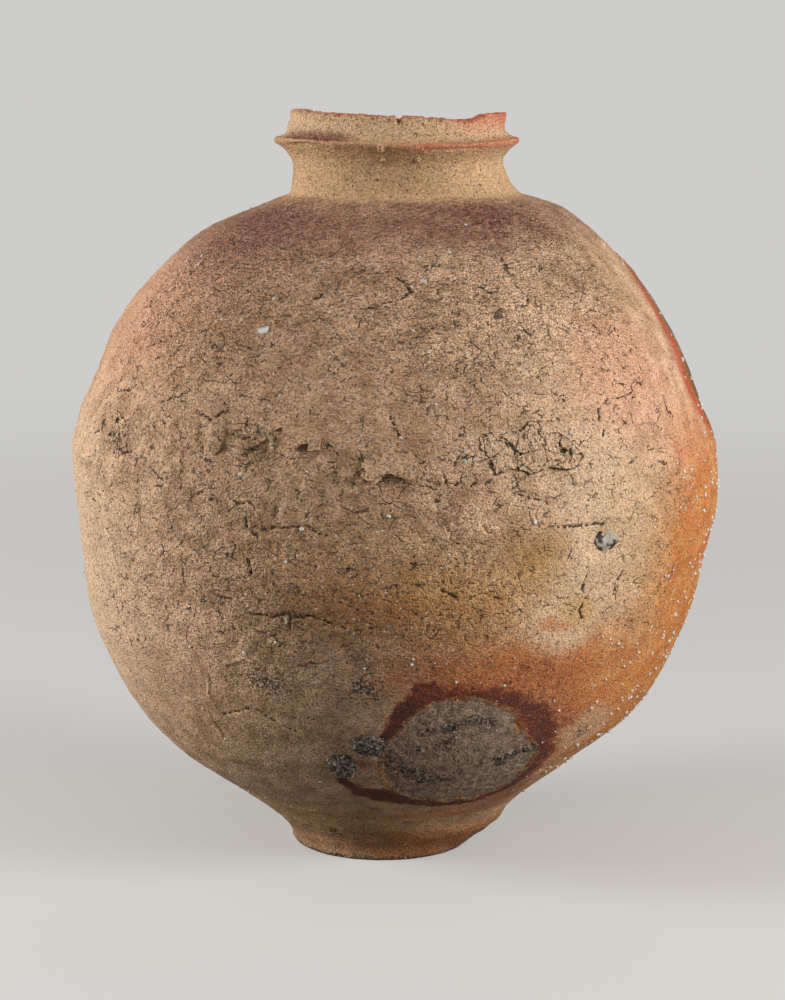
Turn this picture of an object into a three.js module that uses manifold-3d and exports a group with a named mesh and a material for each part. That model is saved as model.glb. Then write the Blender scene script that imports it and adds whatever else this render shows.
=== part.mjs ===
// A wood-fired stoneware storage jar: a flat base disc, courses of coiled clay luted on top of each
// other, a neck ring and a flanged rim, with torn clay smeared over the main join, stones burst out of
// the clay and kiln slag fused to the wall.
// Millimetres, +Z up. The origin is on the table, under the middle of the belly, and -Y is the front.
import * as THREE from "three";
import { mergeVertices } from "three/addons/utils/BufferGeometryUtils.js";
import Module from "manifold-3d";

// Base disc
const BASE_RADIUS = 63.5;
const BASE_THICKNESS = 13;
const BASE_EDGE = 2;
const FOOT_RADIUS = 65;

// Wall: the bowl stands on the base disc, and the shoulder on the bowl, at the belly
const BOWL_HEIGHT = 233;
const BELLY_RADIUS = 196;
const SHOULDER_HEIGHT = 150;
const SHOULDER_RADIUS = 70;
const WALL = 11;
const FLOOR_RADIUS = 49;

// Slopes of the wall, in degrees, and how full its two curves are, as shares of their height and reach
const UPRIGHT = 90;
const FOOT_RISE = 43;
const BELLY_TUCK = 12;
const NECK_FALL = 18;
const BOWL_SPRING = 0.29;
const BOWL_FULLNESS = 0.76;
const SHOULDER_SPRING = 0.08;
const SHOULDER_FULLNESS = 0.86;

// Neck and rim: the waist's height is over the shoulder, the rim's joint and the flange's lower edge
// are over the waist, and the lip is over the flange's upper edge
const WAIST_HEIGHT = 16;
const NECK_RADIUS = 64.5;
const NECK_WALL = 9;
const RIM_JOINT_HEIGHT = 11;
const FLANGE_HEIGHT = 16;
const FLANGE_RADIUS = 74.4;
const FLANGE_EDGE = 2.4;
const LIP_HEIGHT = 14.4;
const LIP_RADIUS = 64.5;
const LIP_WIDTH = 7;
const LIP_ROUND = 1.6;

// How far the jar stands out of true: the foot and the mouth sit off the belly's axis, and the lip
// is higher at its sides than in front and falls away to the back
const FOOT_OFFSET = -5.5;
const MOUTH_OFFSET = 4;
const LIP_SADDLE = 1.8;
const LIP_FALL = 2;

// Courses of coils, in parts of the bowl's height and of the shoulder's height
const BOWL_COURSES = { lower_wall: 33, middle_wall: 37, belly_wall: 30 };
const SHOULDER_COURSES = { shoulder_wall: 63, upper_shoulder: 37 };

// A lute joint: the bevel's rise from the outside to the inside, and the slip between the two pieces
const JOINT_RISE = 6;
const SLIP = 0.3;

// Clay torn up and smeared over the main join. Turn is in degrees to the right of the front, and
// rise is from the join to the lower edge. The blunt edge is a share of the thickness
const PATCH_EDGE = 0.35;
const PATCHES = {
  join_patch_right: { turn: 23, rise: 4, width: 62, height: 31, thickness: 4.2 },
  join_patch_front: { turn: -1.5, rise: 1.5, width: 34, height: 14, thickness: 4.6 },
  join_patch_left: { turn: -16, rise: 12, width: 27, height: 21, thickness: 3.6 },
  join_patch_far_left: { turn: -32, rise: 11, width: 24, height: 25, thickness: 3.2 },
  join_patch_side: { turn: -56, rise: 4, width: 24, height: 33, thickness: 3 },
};

// Stones sunk in the wall, and slag fused to it: half sizes across the wall, up it and out of it.
// A stone's rise is from the main join, slag's is from the base disc, and sink is how deep the
// middle lies under the surface
const STONES = {
  burst_stone: { turn: 38, rise: -35, half: [7, 5.5, 5], sink: 1.6 },
  white_stone: { turn: -27, rise: 82, half: [4.2, 2.8, 3], sink: 1.2 },
};
const SLAG = {
  slag_lump_left: { turn: -10.5, rise: 68, half: [10, 9, 5], sink: 1 },
  slag_lump_right: { turn: -3.5, rise: 80, half: [9, 7, 4.5], sink: 1 },
};

// Facets
const SIDES = 48;
const BOWL_STEPS = 13;
const SHOULDER_STEPS = 11;
const NECK_STEPS = 4;
const PATCH_SIDES = 16;
const PATCH_RINGS = 3;
const LUMP_DETAIL = 1;

const wasm = await Module();
wasm.setup();

const point = (radius, height) => new THREE.Vector2(radius, height);
const radians = THREE.MathUtils.degToRad;

// The point a given length away from a start, along a slope measured up from the horizontal
function along(start, slope, length) {
  const angle = radians(slope);
  return point(start.x + length * Math.cos(angle), start.y + length * Math.sin(angle));
}

// Heights over the table
const bellyTop = BASE_THICKNESS + BOWL_HEIGHT;
const shoulderTop = bellyTop + SHOULDER_HEIGHT;
const waistTop = shoulderTop + WAIST_HEIGHT;
const rimJoint = waistTop + RIM_JOINT_HEIGHT;
const flangeFoot = waistTop + FLANGE_HEIGHT;
const flangeTop = flangeFoot + FLANGE_EDGE;
const jarTop = flangeTop + LIP_HEIGHT;

// Outline of the outside, as radius and height
const footTop = point(FOOT_RADIUS, BASE_THICKNESS);
const belly = point(BELLY_RADIUS, bellyTop);
const neckFoot = point(SHOULDER_RADIUS, shoulderTop);
const neckWaist = point(NECK_RADIUS, waistTop);
const flangeLow = point(FLANGE_RADIUS, flangeFoot);
const flangeHigh = point(FLANGE_RADIUS, flangeTop);
const lipOuter = point(LIP_RADIUS, jarTop - LIP_ROUND);
const shoulderReach = BELLY_RADIUS - SHOULDER_RADIUS;

const bowlCurve = new THREE.CubicBezierCurve(
  footTop,
  along(footTop, FOOT_RISE, BOWL_SPRING * BOWL_HEIGHT),
  point(BELLY_RADIUS, bellyTop - BOWL_FULLNESS * BOWL_HEIGHT),
  belly,
);
const shoulderCurve = new THREE.CubicBezierCurve(
  belly,
  along(belly, UPRIGHT + BELLY_TUCK, SHOULDER_SPRING * SHOULDER_HEIGHT),
  along(neckFoot, -NECK_FALL, SHOULDER_FULLNESS * shoulderReach),
  neckFoot,
);
const neckCurve = new THREE.QuadraticBezierCurve(
  neckFoot,
  point(NECK_RADIUS, shoulderTop),
  neckWaist,
);
const flangeCurve = new THREE.QuadraticBezierCurve(
  neckWaist,
  point(NECK_RADIUS, (waistTop + flangeFoot) / 2),
  flangeLow,
);
const rimCurve = new THREE.QuadraticBezierCurve(
  flangeHigh,
  point(LIP_RADIUS, flangeTop),
  lipOuter,
);
const outside = [
  ...bowlCurve.getPoints(BOWL_STEPS),
  ...shoulderCurve.getPoints(SHOULDER_STEPS).slice(1),
  ...neckCurve.getPoints(NECK_STEPS).slice(1),
  ...flangeCurve.getPoints(NECK_STEPS).slice(1),
  ...rimCurve.getPoints(NECK_STEPS),
];

// Outline of the inside: the wall's two curves moved in by its thickness, then the bore of the neck
const boreRadius = NECK_RADIUS - NECK_WALL;
const lipInner = point(LIP_RADIUS - LIP_WIDTH, jarTop - LIP_ROUND);

function movedIn(curve, steps) {
  return curve.getPoints(steps).map((at, i) => {
    const tangent = curve.getTangent(i / steps);
    return point(at.x - WALL * tangent.y, at.y + WALL * tangent.x);
  });
}

function insideOutline() {
  const wall = [...movedIn(bowlCurve, BOWL_STEPS).slice(0, -1), ...movedIn(shoulderCurve, SHOULDER_STEPS)];
  const top = wall.at(-1);
  const corner = point(boreRadius, top.y + (top.x - boreRadius) * Math.tan(radians(NECK_FALL)));
  return [point(FLOOR_RADIUS, BASE_THICKNESS), ...wall, corner, point(boreRadius, flangeFoot), lipInner];
}
const inside = insideOutline();

// The outline's radius at a height
function radiusAt(outline, height) {
  const i = Math.max(1, outline.findIndex((p) => p.y >= height));
  const [low, high] = [outline[i - 1], outline[i]];
  const share = (height - low.y) / (high.y - low.y);
  return THREE.MathUtils.lerp(low.x, high.x, share);
}

// The outline's stretch between two heights, from the lower to the higher
function stretch(outline, from, to) {
  const between = outline.filter((p) => p.y > from && p.y < to);
  return [point(radiusAt(outline, from), from), ...between, point(radiusAt(outline, to), to)];
}

// Where the jar's axis lies at a height: it bends to the foot's offset and to the mouth's
function axisShift(height) {
  if (height < bellyTop) {
    return FOOT_OFFSET * (1 - height / bellyTop) ** 2;
  }
  return MOUTH_OFFSET * ((height - bellyTop) / (jarTop - bellyTop)) ** 2;
}

// How far the lip's wave and fall lift a point of the rim, above the rim's own joint
const rimFoot = rimJoint + JOINT_RISE + SLIP;
function lipLift(height, turn) {
  const share = Math.max(0, (height - rimFoot) / (jarTop - rimFoot));
  return share * (LIP_SADDLE * Math.cos(2 * turn) - LIP_FALL * Math.sin(turn));
}

// Turns a closed profile, listed up the outside and down the inside, about the jar's bent axis
function turned(profile) {
  const geometry = new THREE.LatheGeometry(profile, SIDES);
  geometry.rotateX(Math.PI / 2);
  const at = geometry.getAttribute("position");
  for (let i = 0; i < at.count; i += 1) {
    const [x, y, z] = [at.getX(i), at.getY(i), at.getZ(i)];
    at.setX(i, x + axisShift(z));
    at.setZ(i, z + lipLift(z, Math.atan2(y, x)));
  }
  return geometry;
}

function solidOf(geometry) {
  const bare = geometry.clone();
  bare.deleteAttribute("normal");
  bare.deleteAttribute("uv");
  const merged = mergeVertices(bare, 1e-3);
  const vertProperties = merged.getAttribute("position").array;
  const triVerts = new Uint32Array(merged.index.array);
  return new wasm.Manifold(new wasm.Mesh({ numProp: 3, vertProperties, triVerts }));
}

function geometryOf(solid) {
  const { vertProperties, triVerts } = solid.getMesh();
  const geometry = new THREE.BufferGeometry();
  geometry.setAttribute("position", new THREE.BufferAttribute(vertProperties, 3));
  geometry.setIndex(new THREE.BufferAttribute(triVerts, 1));
  geometry.computeVertexNormals();
  return geometry;
}

// A place on the outside of the wall: its point, and its directions across, up and out of the wall
function placeOnWall(turn, height) {
  const angle = radians(turn - 90);
  const step = 1;
  const slope = radiusAt(outside, height + step) - radiusAt(outside, height - step);
  const radial = new THREE.Vector3(Math.cos(angle), Math.sin(angle), 0);
  const across = new THREE.Vector3(-Math.sin(angle), Math.cos(angle), 0);
  const up = radial.clone().multiplyScalar(slope).setZ(2 * step).normalize();
  const out = across.clone().cross(up);
  const at = radial.multiplyScalar(radiusAt(outside, height));
  at.x += axisShift(height);
  at.z = height;
  return { at, across, up, out };
}

// Base disc, with a worn edge under it
function baseDisc() {
  return turned([
    point(0, 0),
    point(BASE_RADIUS - BASE_EDGE, 0),
    point(BASE_RADIUS, BASE_EDGE),
    point(FOOT_RADIUS, BASE_THICKNESS - SLIP),
    point(0, BASE_THICKNESS - SLIP),
  ]);
}

// One course of clay: its lower edge lies on the slip of the course below, and both edges are bevelled
function course(from, to, rise) {
  const outer = stretch(outside, from, to - SLIP);
  const inner = stretch(inside, from + rise, to + JOINT_RISE - SLIP);
  return turned([...outer, ...inner.reverse(), outer[0]]);
}

// The courses between two heights, named and sized by their parts of the whole
function courses(parts, from, to, firstRise) {
  const whole = Object.values(parts).reduce((sum, part) => sum + part);
  let low = from;
  return Object.entries(parts).map(([name, part]) => {
    const high = low + (part / whole) * (to - from);
    const rise = low === from ? firstRise : JOINT_RISE;
    const geometry = course(low, high, rise);
    low = high;
    return [name, geometry];
  });
}

// The rim: a flange round the mouth, and a lip with rounded edges
function rim() {
  const outer = stretch(outside, rimJoint, lipOuter.y);
  const inner = stretch(inside, rimJoint + JOINT_RISE, lipInner.y);
  const lip = [
    point(LIP_RADIUS - LIP_ROUND, jarTop),
    point(LIP_RADIUS - LIP_WIDTH + LIP_ROUND, jarTop),
  ];
  return turned([...outer, ...lip, ...inner.reverse(), outer[0]]);
}

// A torn scrap of clay that follows the wall: a crowned oval with a blunt edge
function patch({ turn, rise, width, height, thickness }) {
  const middle = bellyTop + rise + height / 2;
  const girth = radiusAt(outside, middle);
  const edge = PATCH_EDGE * thickness;
  const corner = (ring, side, lift) => {
    const share = ring / PATCH_RINGS;
    const angle = (side / PATCH_SIDES) * 2 * Math.PI;
    const across = (width / 2) * share * Math.cos(angle);
    const up = (height / 2) * share * Math.sin(angle);
    const place = placeOnWall(turn + THREE.MathUtils.radToDeg(across / girth), middle + up);
    return place.at.addScaledVector(place.out, lift(share));
  };
  const crown = (share) => SLIP + edge + (thickness - edge) * (1 - share ** 2);
  const back = () => SLIP;
  const triangles = [];
  const quad = (a, b, c, d) => triangles.push(a, b, c, a, c, d);
  for (let side = 0; side < PATCH_SIDES; side += 1) {
    const next = (side + 1) % PATCH_SIDES;
    triangles.push(corner(0, 0, crown), corner(1, side, crown), corner(1, next, crown));
    triangles.push(corner(0, 0, back), corner(1, next, back), corner(1, side, back));
    for (let ring = 1; ring < PATCH_RINGS; ring += 1) {
      quad(
        corner(ring, side, crown),
        corner(ring + 1, side, crown),
        corner(ring + 1, next, crown),
        corner(ring, next, crown),
      );
      quad(
        corner(ring, next, back),
        corner(ring + 1, next, back),
        corner(ring + 1, side, back),
        corner(ring, side, back),
      );
    }
    quad(
      corner(PATCH_RINGS, side, back),
      corner(PATCH_RINGS, next, back),
      corner(PATCH_RINGS, next, crown),
      corner(PATCH_RINGS, side, crown),
    );
  }
  return new THREE.BufferGeometry().setFromPoints(triangles);
}

// A rough lump on the wall, its rise counted from a given height, grown on all sides by a clearance
function lump({ turn, rise, half, sink }, from, clearance) {
  const { at, across, up, out } = placeOnWall(turn, from + rise);
  const geometry = new THREE.IcosahedronGeometry(1, LUMP_DETAIL);
  geometry.scale(...half.map((size) => size + clearance));
  geometry.applyMatrix4(new THREE.Matrix4().makeBasis(across, up, out));
  geometry.translate(...at.addScaledVector(out, -sink));
  return geometry;
}

// Everything within a clearance of the jar's outside, as one filled solid
function filledJar(clearance) {
  const skin = outside.map((p, i) => {
    const before = outside[Math.max(0, i - 1)];
    const after = outside[Math.min(outside.length - 1, i + 1)];
    const tangent = after.clone().sub(before).normalize();
    return point(p.x + clearance * tangent.y, p.y - clearance * tangent.x);
  });
  const [low, high] = [skin[0].y, skin.at(-1).y];
  return solidOf(turned([point(0, low), ...skin, point(0, high)]));
}

// Materials
const CLAY = { color: 0xb0906c, roughness: 0.92, metalness: 0 };
const FLASHED_CLAY = { color: 0xa06a35, roughness: 0.85, metalness: 0 };
const SHOULDER_CLAY = { color: 0x93745c, roughness: 0.92, metalness: 0 };
const RIM_CLAY = { color: 0xbf8a68, roughness: 0.9, metalness: 0 };
const FELDSPAR = { color: 0xd8d4ca, roughness: 0.55, metalness: 0 };
const KILN_SLAG = { color: 0x3b3734, roughness: 0.8, metalness: 0 };
const FINISHES = {
  base_disc: FLASHED_CLAY,
  upper_shoulder: SHOULDER_CLAY,
  rim_ring: RIM_CLAY,
};

function piece(name, geometry, finish) {
  const mesh = new THREE.Mesh(geometry, new THREE.MeshStandardMaterial(finish));
  mesh.name = name;
  return mesh;
}

// The clay pieces, with a socket cut for each stone
const sockets = Object.values(STONES).map((stone) => solidOf(lump(stone, bellyTop, SLIP)));
const clay = [
  ["base_disc", baseDisc()],
  ...courses(BOWL_COURSES, BASE_THICKNESS, bellyTop, 0),
  ...courses(SHOULDER_COURSES, bellyTop, shoulderTop, JOINT_RISE),
  ["neck_ring", course(shoulderTop, rimJoint, JOINT_RISE)],
  ["rim_ring", rim()],
].map(([name, geometry]) => {
  const solid = sockets.reduce((left, socket) => left.subtract(socket), solidOf(geometry));
  return piece(name, geometryOf(solid), FINISHES[name] ?? CLAY);
});

const patches = Object.entries(PATCHES).map(([name, size]) => piece(name, patch(size), CLAY));
const stones = Object.entries(STONES).map(([name, size]) => piece(name, lump(size, bellyTop, 0), FELDSPAR));
const jarWithSlip = filledJar(SLIP);
const slag = Object.entries(SLAG).map(([name, size]) => {
  const solid = solidOf(lump(size, BASE_THICKNESS, 0)).subtract(jarWithSlip);
  return piece(name, geometryOf(solid), KILN_SLAG);
});

const jar = new THREE.Group();
jar.name = "storage_jar";
jar.add(...clay, ...patches, ...stones, ...slag);

export default jar;
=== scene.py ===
import math

import bmesh
import bpy
import numpy as np
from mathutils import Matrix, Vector


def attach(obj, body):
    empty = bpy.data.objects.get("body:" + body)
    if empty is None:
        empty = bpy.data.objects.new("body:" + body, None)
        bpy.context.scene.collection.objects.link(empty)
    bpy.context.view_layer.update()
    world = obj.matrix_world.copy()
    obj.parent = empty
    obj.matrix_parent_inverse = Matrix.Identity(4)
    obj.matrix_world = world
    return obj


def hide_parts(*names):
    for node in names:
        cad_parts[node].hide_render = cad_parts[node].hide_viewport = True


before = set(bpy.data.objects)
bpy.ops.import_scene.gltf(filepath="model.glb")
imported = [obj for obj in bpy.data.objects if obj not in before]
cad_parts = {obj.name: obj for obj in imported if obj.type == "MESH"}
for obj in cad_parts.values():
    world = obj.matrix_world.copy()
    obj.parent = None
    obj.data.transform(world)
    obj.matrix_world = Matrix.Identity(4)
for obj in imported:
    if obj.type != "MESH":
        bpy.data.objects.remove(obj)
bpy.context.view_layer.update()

# Sizes of the jar, in millimetres. Turns are in degrees to the right of the front, heights are over
# the table
MM = 0.001
BASE_RADIUS = 63.5
BASE_EDGE = 2
BASE_THICKNESS = 13
FOOT_RADIUS = 65
FLOOR_RADIUS = 49
BELLY_RADIUS = 196
BELLY_HEIGHT = 246
SHOULDER_RADIUS = 70
SHOULDER_HEIGHT = 396
WALL = 11
INSIDE_TOP = 385
NECK_RADIUS = 64.5
NECK_HEIGHT = 412
FLARE_CORNER = 420
BORE_RADIUS = 55.5
BORE_FOOT = 389
FLANGE_RADIUS = 74.4
FLANGE_HEIGHT = 428
FLANGE_EDGE = 2.4
LIP_RADIUS = 64.5
LIP_WIDTH = 7
LIP_ROUND = 1.8
JAR_HEIGHT = 444.8
RIM_JOINT = 423
JOINT_FALL = 4
FOOT_OFFSET = -5.5
MOUTH_OFFSET = 4

# Heights where the foot starts to round into the wall, of the round's corner and of its end
FOOT_ROUND = (4, 11.6, 26)

# The wall's curve: slope in degrees and reach of its handles at the foot, over the belly and at the neck,
# and the height of its handle under the belly
FOOT_HANDLE = (43, 67.6)
BELLY_HANDLE = (102, 12)
NECK_HANDLE = (-18, 108.4)
UNDER_BELLY = 68.9

# The courses of clay, from the foot up: the node each one stands for, its slot and its top
COURSES = {
    "base_disc": ("foot_clay", BASE_THICKNESS),
    "lower_wall": ("clay", 89.9),
    "middle_wall": ("clay", 176.1),
    "belly_wall": ("clay", BELLY_HEIGHT),
    "shoulder_wall": ("clay", 340.5),
    "upper_shoulder": ("shoulder_clay", SHOULDER_HEIGHT),
    "neck_ring": ("clay", RIM_JOINT),
    "rim_ring": ("rim_clay", None),
}

# Spacing of the surface's points: the columns are closer together in front than behind
COLUMNS = 960
FRONT_SHARE = 0.34
ROW_STEP = 1.15
INNER_STEP = 16

# How far the jar's left and right sides stand out of round, as height and distance
LEFT_SIDE = [
    (0, -5.8), (8, -4), (20, -2.6), (40, -2), (60, 1.4), (108, -0.2), (140, 0.8), (195, -2),
    (250, -0.4), (270, 0), (293, -1.8), (315, 2.1), (338, 2.5), (361, 2.2), (378, 3.4), (390, -2.7),
    (404, -0.6), (418, -0.7), (433, 1.6), (450, 1.6),
]
RIGHT_SIDE = [
    (0, -13), (8, -1), (15, 2.2), (38, -7.6), (63, -9.6), (86, -3), (108, -3), (132, -3.8), (155, -2),
    (178, -2.2), (206, 1), (228, 1), (247, -1), (270, -4.7), (315, -3.2), (338, -2.4), (361, 0.7),
    (378, 5.2), (390, 10.8), (404, 2.1), (418, -3.6), (433, -3.4), (450, 0),
]

# How far the lip and the flange rise and fall round the mouth, as turn and rise
LIP_WAVE = [
    (-180, -4.6), (-130, -2.2), (-100, 1.5), (-75, 3.2), (-65, 3), (-47, 1.6), (-33, 1.2), (-11, 0.4),
    (5, 0.4), (15, -0.2), (26, -2.4), (40, -3.3), (53, 0.6), (67, 0.9), (90, 0.6), (115, -1.4),
    (135, -4.6), (150, -5.3), (165, -4), (180, -4.6),
]
FLANGE_WAVE = [
    (-180, 0), (-90, 0.3), (-50, 1.4), (-25, 0.2), (0, -1.6), (30, -1.8), (60, -0.6), (90, 0), (180, 0),
]

# A distance that stands for nowhere near, in millimetres
FAR = 1e3


# Noise

def hashed(lattice, seed):
    """A repeatable number from 0 to 1 for each lattice cell."""
    keys = lattice.astype(np.int64).astype(np.uint32)
    mixed = keys[..., 0] * np.uint32(374761393) + keys[..., 1] * np.uint32(668265263)
    mixed += keys[..., 2] * np.uint32(2246822519) + np.uint32(seed * 3266489917 % 2**32)
    mixed = (mixed ^ (mixed >> np.uint32(15))) * np.uint32(2654435761)
    mixed = (mixed ^ (mixed >> np.uint32(13))) * np.uint32(1274126177)
    return ((mixed ^ (mixed >> np.uint32(16))) / np.float32(2**32)).astype(np.float32)


def cloud(points, size, seed, octaves=1):
    """Smooth noise from -1 to 1, with features of a size given in millimetres."""
    total = np.zeros(points.shape[:-1], np.float32)
    weight, norm = 1.0, 0.0
    scaled = points / np.asarray(size, np.float32)
    for octave in range(octaves):
        low = np.floor(scaled)
        part = scaled - low
        part = part * part * (3 - 2 * part)
        value = np.zeros_like(total)
        for corner in np.ndindex(2, 2, 2):
            share = np.prod(np.where(corner, part, 1 - part), axis=-1)
            value += share * hashed(low + np.array(corner), seed + 31 * octave)
        total += weight * (2 * value - 1)
        norm += weight
        weight *= 0.5
        scaled = scaled * 2.03
    return total / norm


def cells(points, size, seed):
    """Distances to the nearest and next seed point, and the nearest one's own number and lean."""
    scaled = points / np.asarray(size, np.float32)
    low = np.floor(scaled)
    nearest = np.full(points.shape[:-1], 9, np.float32)
    second = nearest.copy()
    own = np.zeros_like(nearest)
    lean = np.zeros_like(nearest)
    for step in np.ndindex(3, 3, 3):
        cell = low + np.array(step) - 1
        jitter = np.stack([hashed(cell, seed + axis) for axis in range(3)], axis=-1)
        away = scaled - cell - jitter
        distance = np.linalg.norm(away, axis=-1)
        closer = distance < nearest
        second = np.where(closer, nearest, np.minimum(second, distance))
        tilt = np.stack([hashed(cell, seed + 11 + axis) for axis in range(3)], axis=-1) - 0.5
        own = np.where(closer, hashed(cell, seed + 7), own)
        lean = np.where(closer, (away * tilt).sum(axis=-1), lean)
        nearest = np.minimum(nearest, distance)
    return nearest, second, own, lean


def ramp(value, low, high):
    """0 below low, 1 above high, smooth between; low may be above high."""
    share = np.clip((value - low) / (high - low), 0, 1)
    return share * share * (3 - 2 * share)


# The jar's outline

def curve(controls, count=160):
    """A curve from the first control point to the last, drawn toward those between."""
    t = np.linspace(0, 1, count)[:, None]
    points = [np.array(c, float) + 0 * t for c in controls]
    while len(points) > 1:
        points = [a + (b - a) * t for a, b in zip(points, points[1:])]
    return points[0]


def slope(degrees, length):
    """A step outward and up of some length, at a slope."""
    return length * np.array([math.cos(math.radians(degrees)), math.sin(math.radians(degrees))])


FOOT_TOP = np.array([FOOT_RADIUS, BASE_THICKNESS])
BELLY = np.array([BELLY_RADIUS, BELLY_HEIGHT])
NECK_FOOT = np.array([SHOULDER_RADIUS, SHOULDER_HEIGHT])
BOWL = [FOOT_TOP, FOOT_TOP + slope(*FOOT_HANDLE), (BELLY_RADIUS, UNDER_BELLY), BELLY]
SHOULDER = [BELLY, BELLY + slope(*BELLY_HANDLE), NECK_FOOT + slope(*NECK_HANDLE), NECK_FOOT]
FLANGE_TOP = FLANGE_HEIGHT + FLANGE_EDGE
LIP_INNER = LIP_RADIUS - LIP_WIDTH
LIP_EDGE = JAR_HEIGHT - LIP_ROUND
LIP_TOP = LIP_RADIUS - LIP_ROUND
JOINT_INSIDE = (BORE_RADIUS, RIM_JOINT - JOINT_FALL)


def outside_outline():
    """From the foot's edge up the outside, over the lip and down to the rim's joint inside."""
    low, corner, high = FOOT_ROUND
    bowl = curve(BOWL)
    bowl = bowl[bowl[:, 1] > high]
    return np.vstack([
        curve([(BASE_RADIUS - BASE_EDGE, 0), (BASE_RADIUS, 0), (BASE_RADIUS, BASE_EDGE)], 8),
        curve([(BASE_RADIUS, low), (BASE_RADIUS, corner), bowl[0]], 16),
        bowl[1:],
        curve(SHOULDER)[1:],
        curve([NECK_FOOT, (NECK_RADIUS, SHOULDER_HEIGHT), (NECK_RADIUS, NECK_HEIGHT)], 30)[1:],
        curve([(NECK_RADIUS, NECK_HEIGHT), (NECK_RADIUS, FLARE_CORNER),
               (FLANGE_RADIUS, FLANGE_HEIGHT)], 30)[1:],
        curve([(FLANGE_RADIUS, FLANGE_TOP), (LIP_RADIUS, FLANGE_TOP), (LIP_RADIUS, LIP_EDGE)], 30),
        curve([(LIP_RADIUS, LIP_EDGE), (LIP_RADIUS, JAR_HEIGHT), (LIP_TOP, JAR_HEIGHT)], 8)[1:],
        curve([(LIP_INNER + LIP_ROUND, JAR_HEIGHT), (LIP_INNER, JAR_HEIGHT), (LIP_INNER, LIP_EDGE)], 8),
        [JOINT_INSIDE],
    ])


def inside_outline():
    """From the floor's edge up the inside to the rim's joint."""
    wall = np.vstack([curve(BOWL, 60), curve(SHOULDER, 60)[1:]])
    tangent = np.gradient(wall, axis=0)
    tangent /= np.linalg.norm(tangent, axis=1)[:, None]
    moved = wall - WALL * np.stack([tangent[:, 1], -tangent[:, 0]], axis=1)
    moved = moved[moved[:, 1] < INSIDE_TOP]
    return np.vstack([(FLOOR_RADIUS, BASE_THICKNESS), moved, (BORE_RADIUS, BORE_FOOT), JOINT_INSIDE])


def lengths(outline):
    """Length along an outline at each of its points."""
    return np.r_[0, np.cumsum(np.linalg.norm(np.diff(outline, axis=0), axis=1))]


def between(outline, start, end, step):
    """Even rows on an outline between two lengths along it."""
    travel = lengths(outline)
    at = np.linspace(start, end, max(2, math.ceil((end - start) / step) + 1))
    return np.stack([np.interp(at, travel, outline[:, 0]), np.interp(at, travel, outline[:, 1])], axis=1)


outside = outside_outline()
inside = inside_outline()
outside_travel = lengths(outside)
crest = int(np.argmax(outside[:, 1]))


def travel_at(height):
    """Length along the outside, from the foot's edge, at a height below the lip."""
    return np.interp(height, outside[:crest, 1], outside_travel[:crest])


# The rows of each course, one after another, and where each course starts and ends among them
row_parts, spans = [], {}
start, first = 0.0, 0
for name, (_, top) in COURSES.items():
    end = outside_travel[-1] if top is None else travel_at(top)
    part = between(outside, start, end, ROW_STEP)
    spans[name] = (first, first + len(part) - 1)
    row_parts.append(part if top is None else part[:-1])
    first += len(part) - 1
    start = end
rows = np.vstack(row_parts)
radius, height = rows[:, 0], rows[:, 1]
travel = lengths(rows)
even = np.linspace(-math.pi, math.pi, COLUMNS, endpoint=False)
turns = even - FRONT_SHARE * np.sin(even)

TURN = np.degrees(np.broadcast_to(turns, (len(rows), COLUMNS))).astype(np.float32)
HEIGHT = np.broadcast_to(height[:, None], TURN.shape).astype(np.float32)
TRAVEL = np.broadcast_to(travel[:, None], TURN.shape).astype(np.float32)


def axis_shift(at):
    """How far right the jar's bent axis lies at a height."""
    low = FOOT_OFFSET * np.clip(1 - at / BELLY_HEIGHT, 0, 1) ** 2
    return low + MOUTH_OFFSET * np.clip((at - BELLY_HEIGHT) / (JAR_HEIGHT - BELLY_HEIGHT), 0, 1) ** 2


def spun(outline, angles, smoothing=0):
    """Points of an outline turned about the jar's bent axis, and outward normals, smoothed along it."""
    tangent = np.gradient(outline, axis=0)
    if smoothing:
        weights = np.hanning(2 * smoothing + 3)[1:-1]
        padded = np.pad(tangent, ((smoothing, smoothing), (0, 0)), mode="edge")
        tangent = np.stack([np.convolve(padded[:, k], weights, "valid") for k in range(2)], axis=1)
    tangent /= np.linalg.norm(tangent, axis=1)[:, None]
    sine, cosine = np.sin(angles), np.cos(angles)
    left = np.interp(outline[:, 1], *zip(*LEFT_SIDE))[:, None] * np.clip(-sine, 0, 1) ** 2
    right = np.interp(outline[:, 1], *zip(*RIGHT_SIDE))[:, None] * np.clip(sine, 0, 1) ** 2
    reach = outline[:, :1] + left + right
    level = outline[:, 1:] + 0 * sine
    points = np.stack([axis_shift(level) + reach * sine, -reach * cosine, level], axis=-1)
    out, rise = tangent[:, 1:], -tangent[:, :1]
    normals = np.stack([out * sine, -out * cosine, rise + 0 * sine], axis=-1)
    return points.astype(np.float32), normals.astype(np.float32)


POINTS, NORMALS = spun(rows, turns, smoothing=6)


# Marks of the fire and of the making, with painted shade and light among them, as fields over the outside

# How far edges wander, in broad waves and in small ones
WARP = 5 * cloud(POINTS, 24, 3, 3)
WARP_UP = 4 * cloud(POINTS, 20, 4, 3)
RAGGED_ACROSS = 1.6 * cloud(POINTS, 6, 11, 2)
RAGGED_UP = 1.6 * cloud(POINTS, 6, 12, 2)

# Height along the slanting strokes of the wiping hand
WIPED = HEIGHT + 10 * np.sin(np.radians(TURN + 30)) + 0.35 * TRAVEL

# How far over a shape places are still measured, and how far from an open crack
SHAPE_MARGIN = 20
GAP_REACH = 4


def drawn_out(across, up, level):
    """Places for noise that is drawn out along lines of one level: its sizes across and up."""
    return np.stack([POINTS[..., 0] / across, POINTS[..., 1] / across, level / up], axis=-1)


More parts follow.
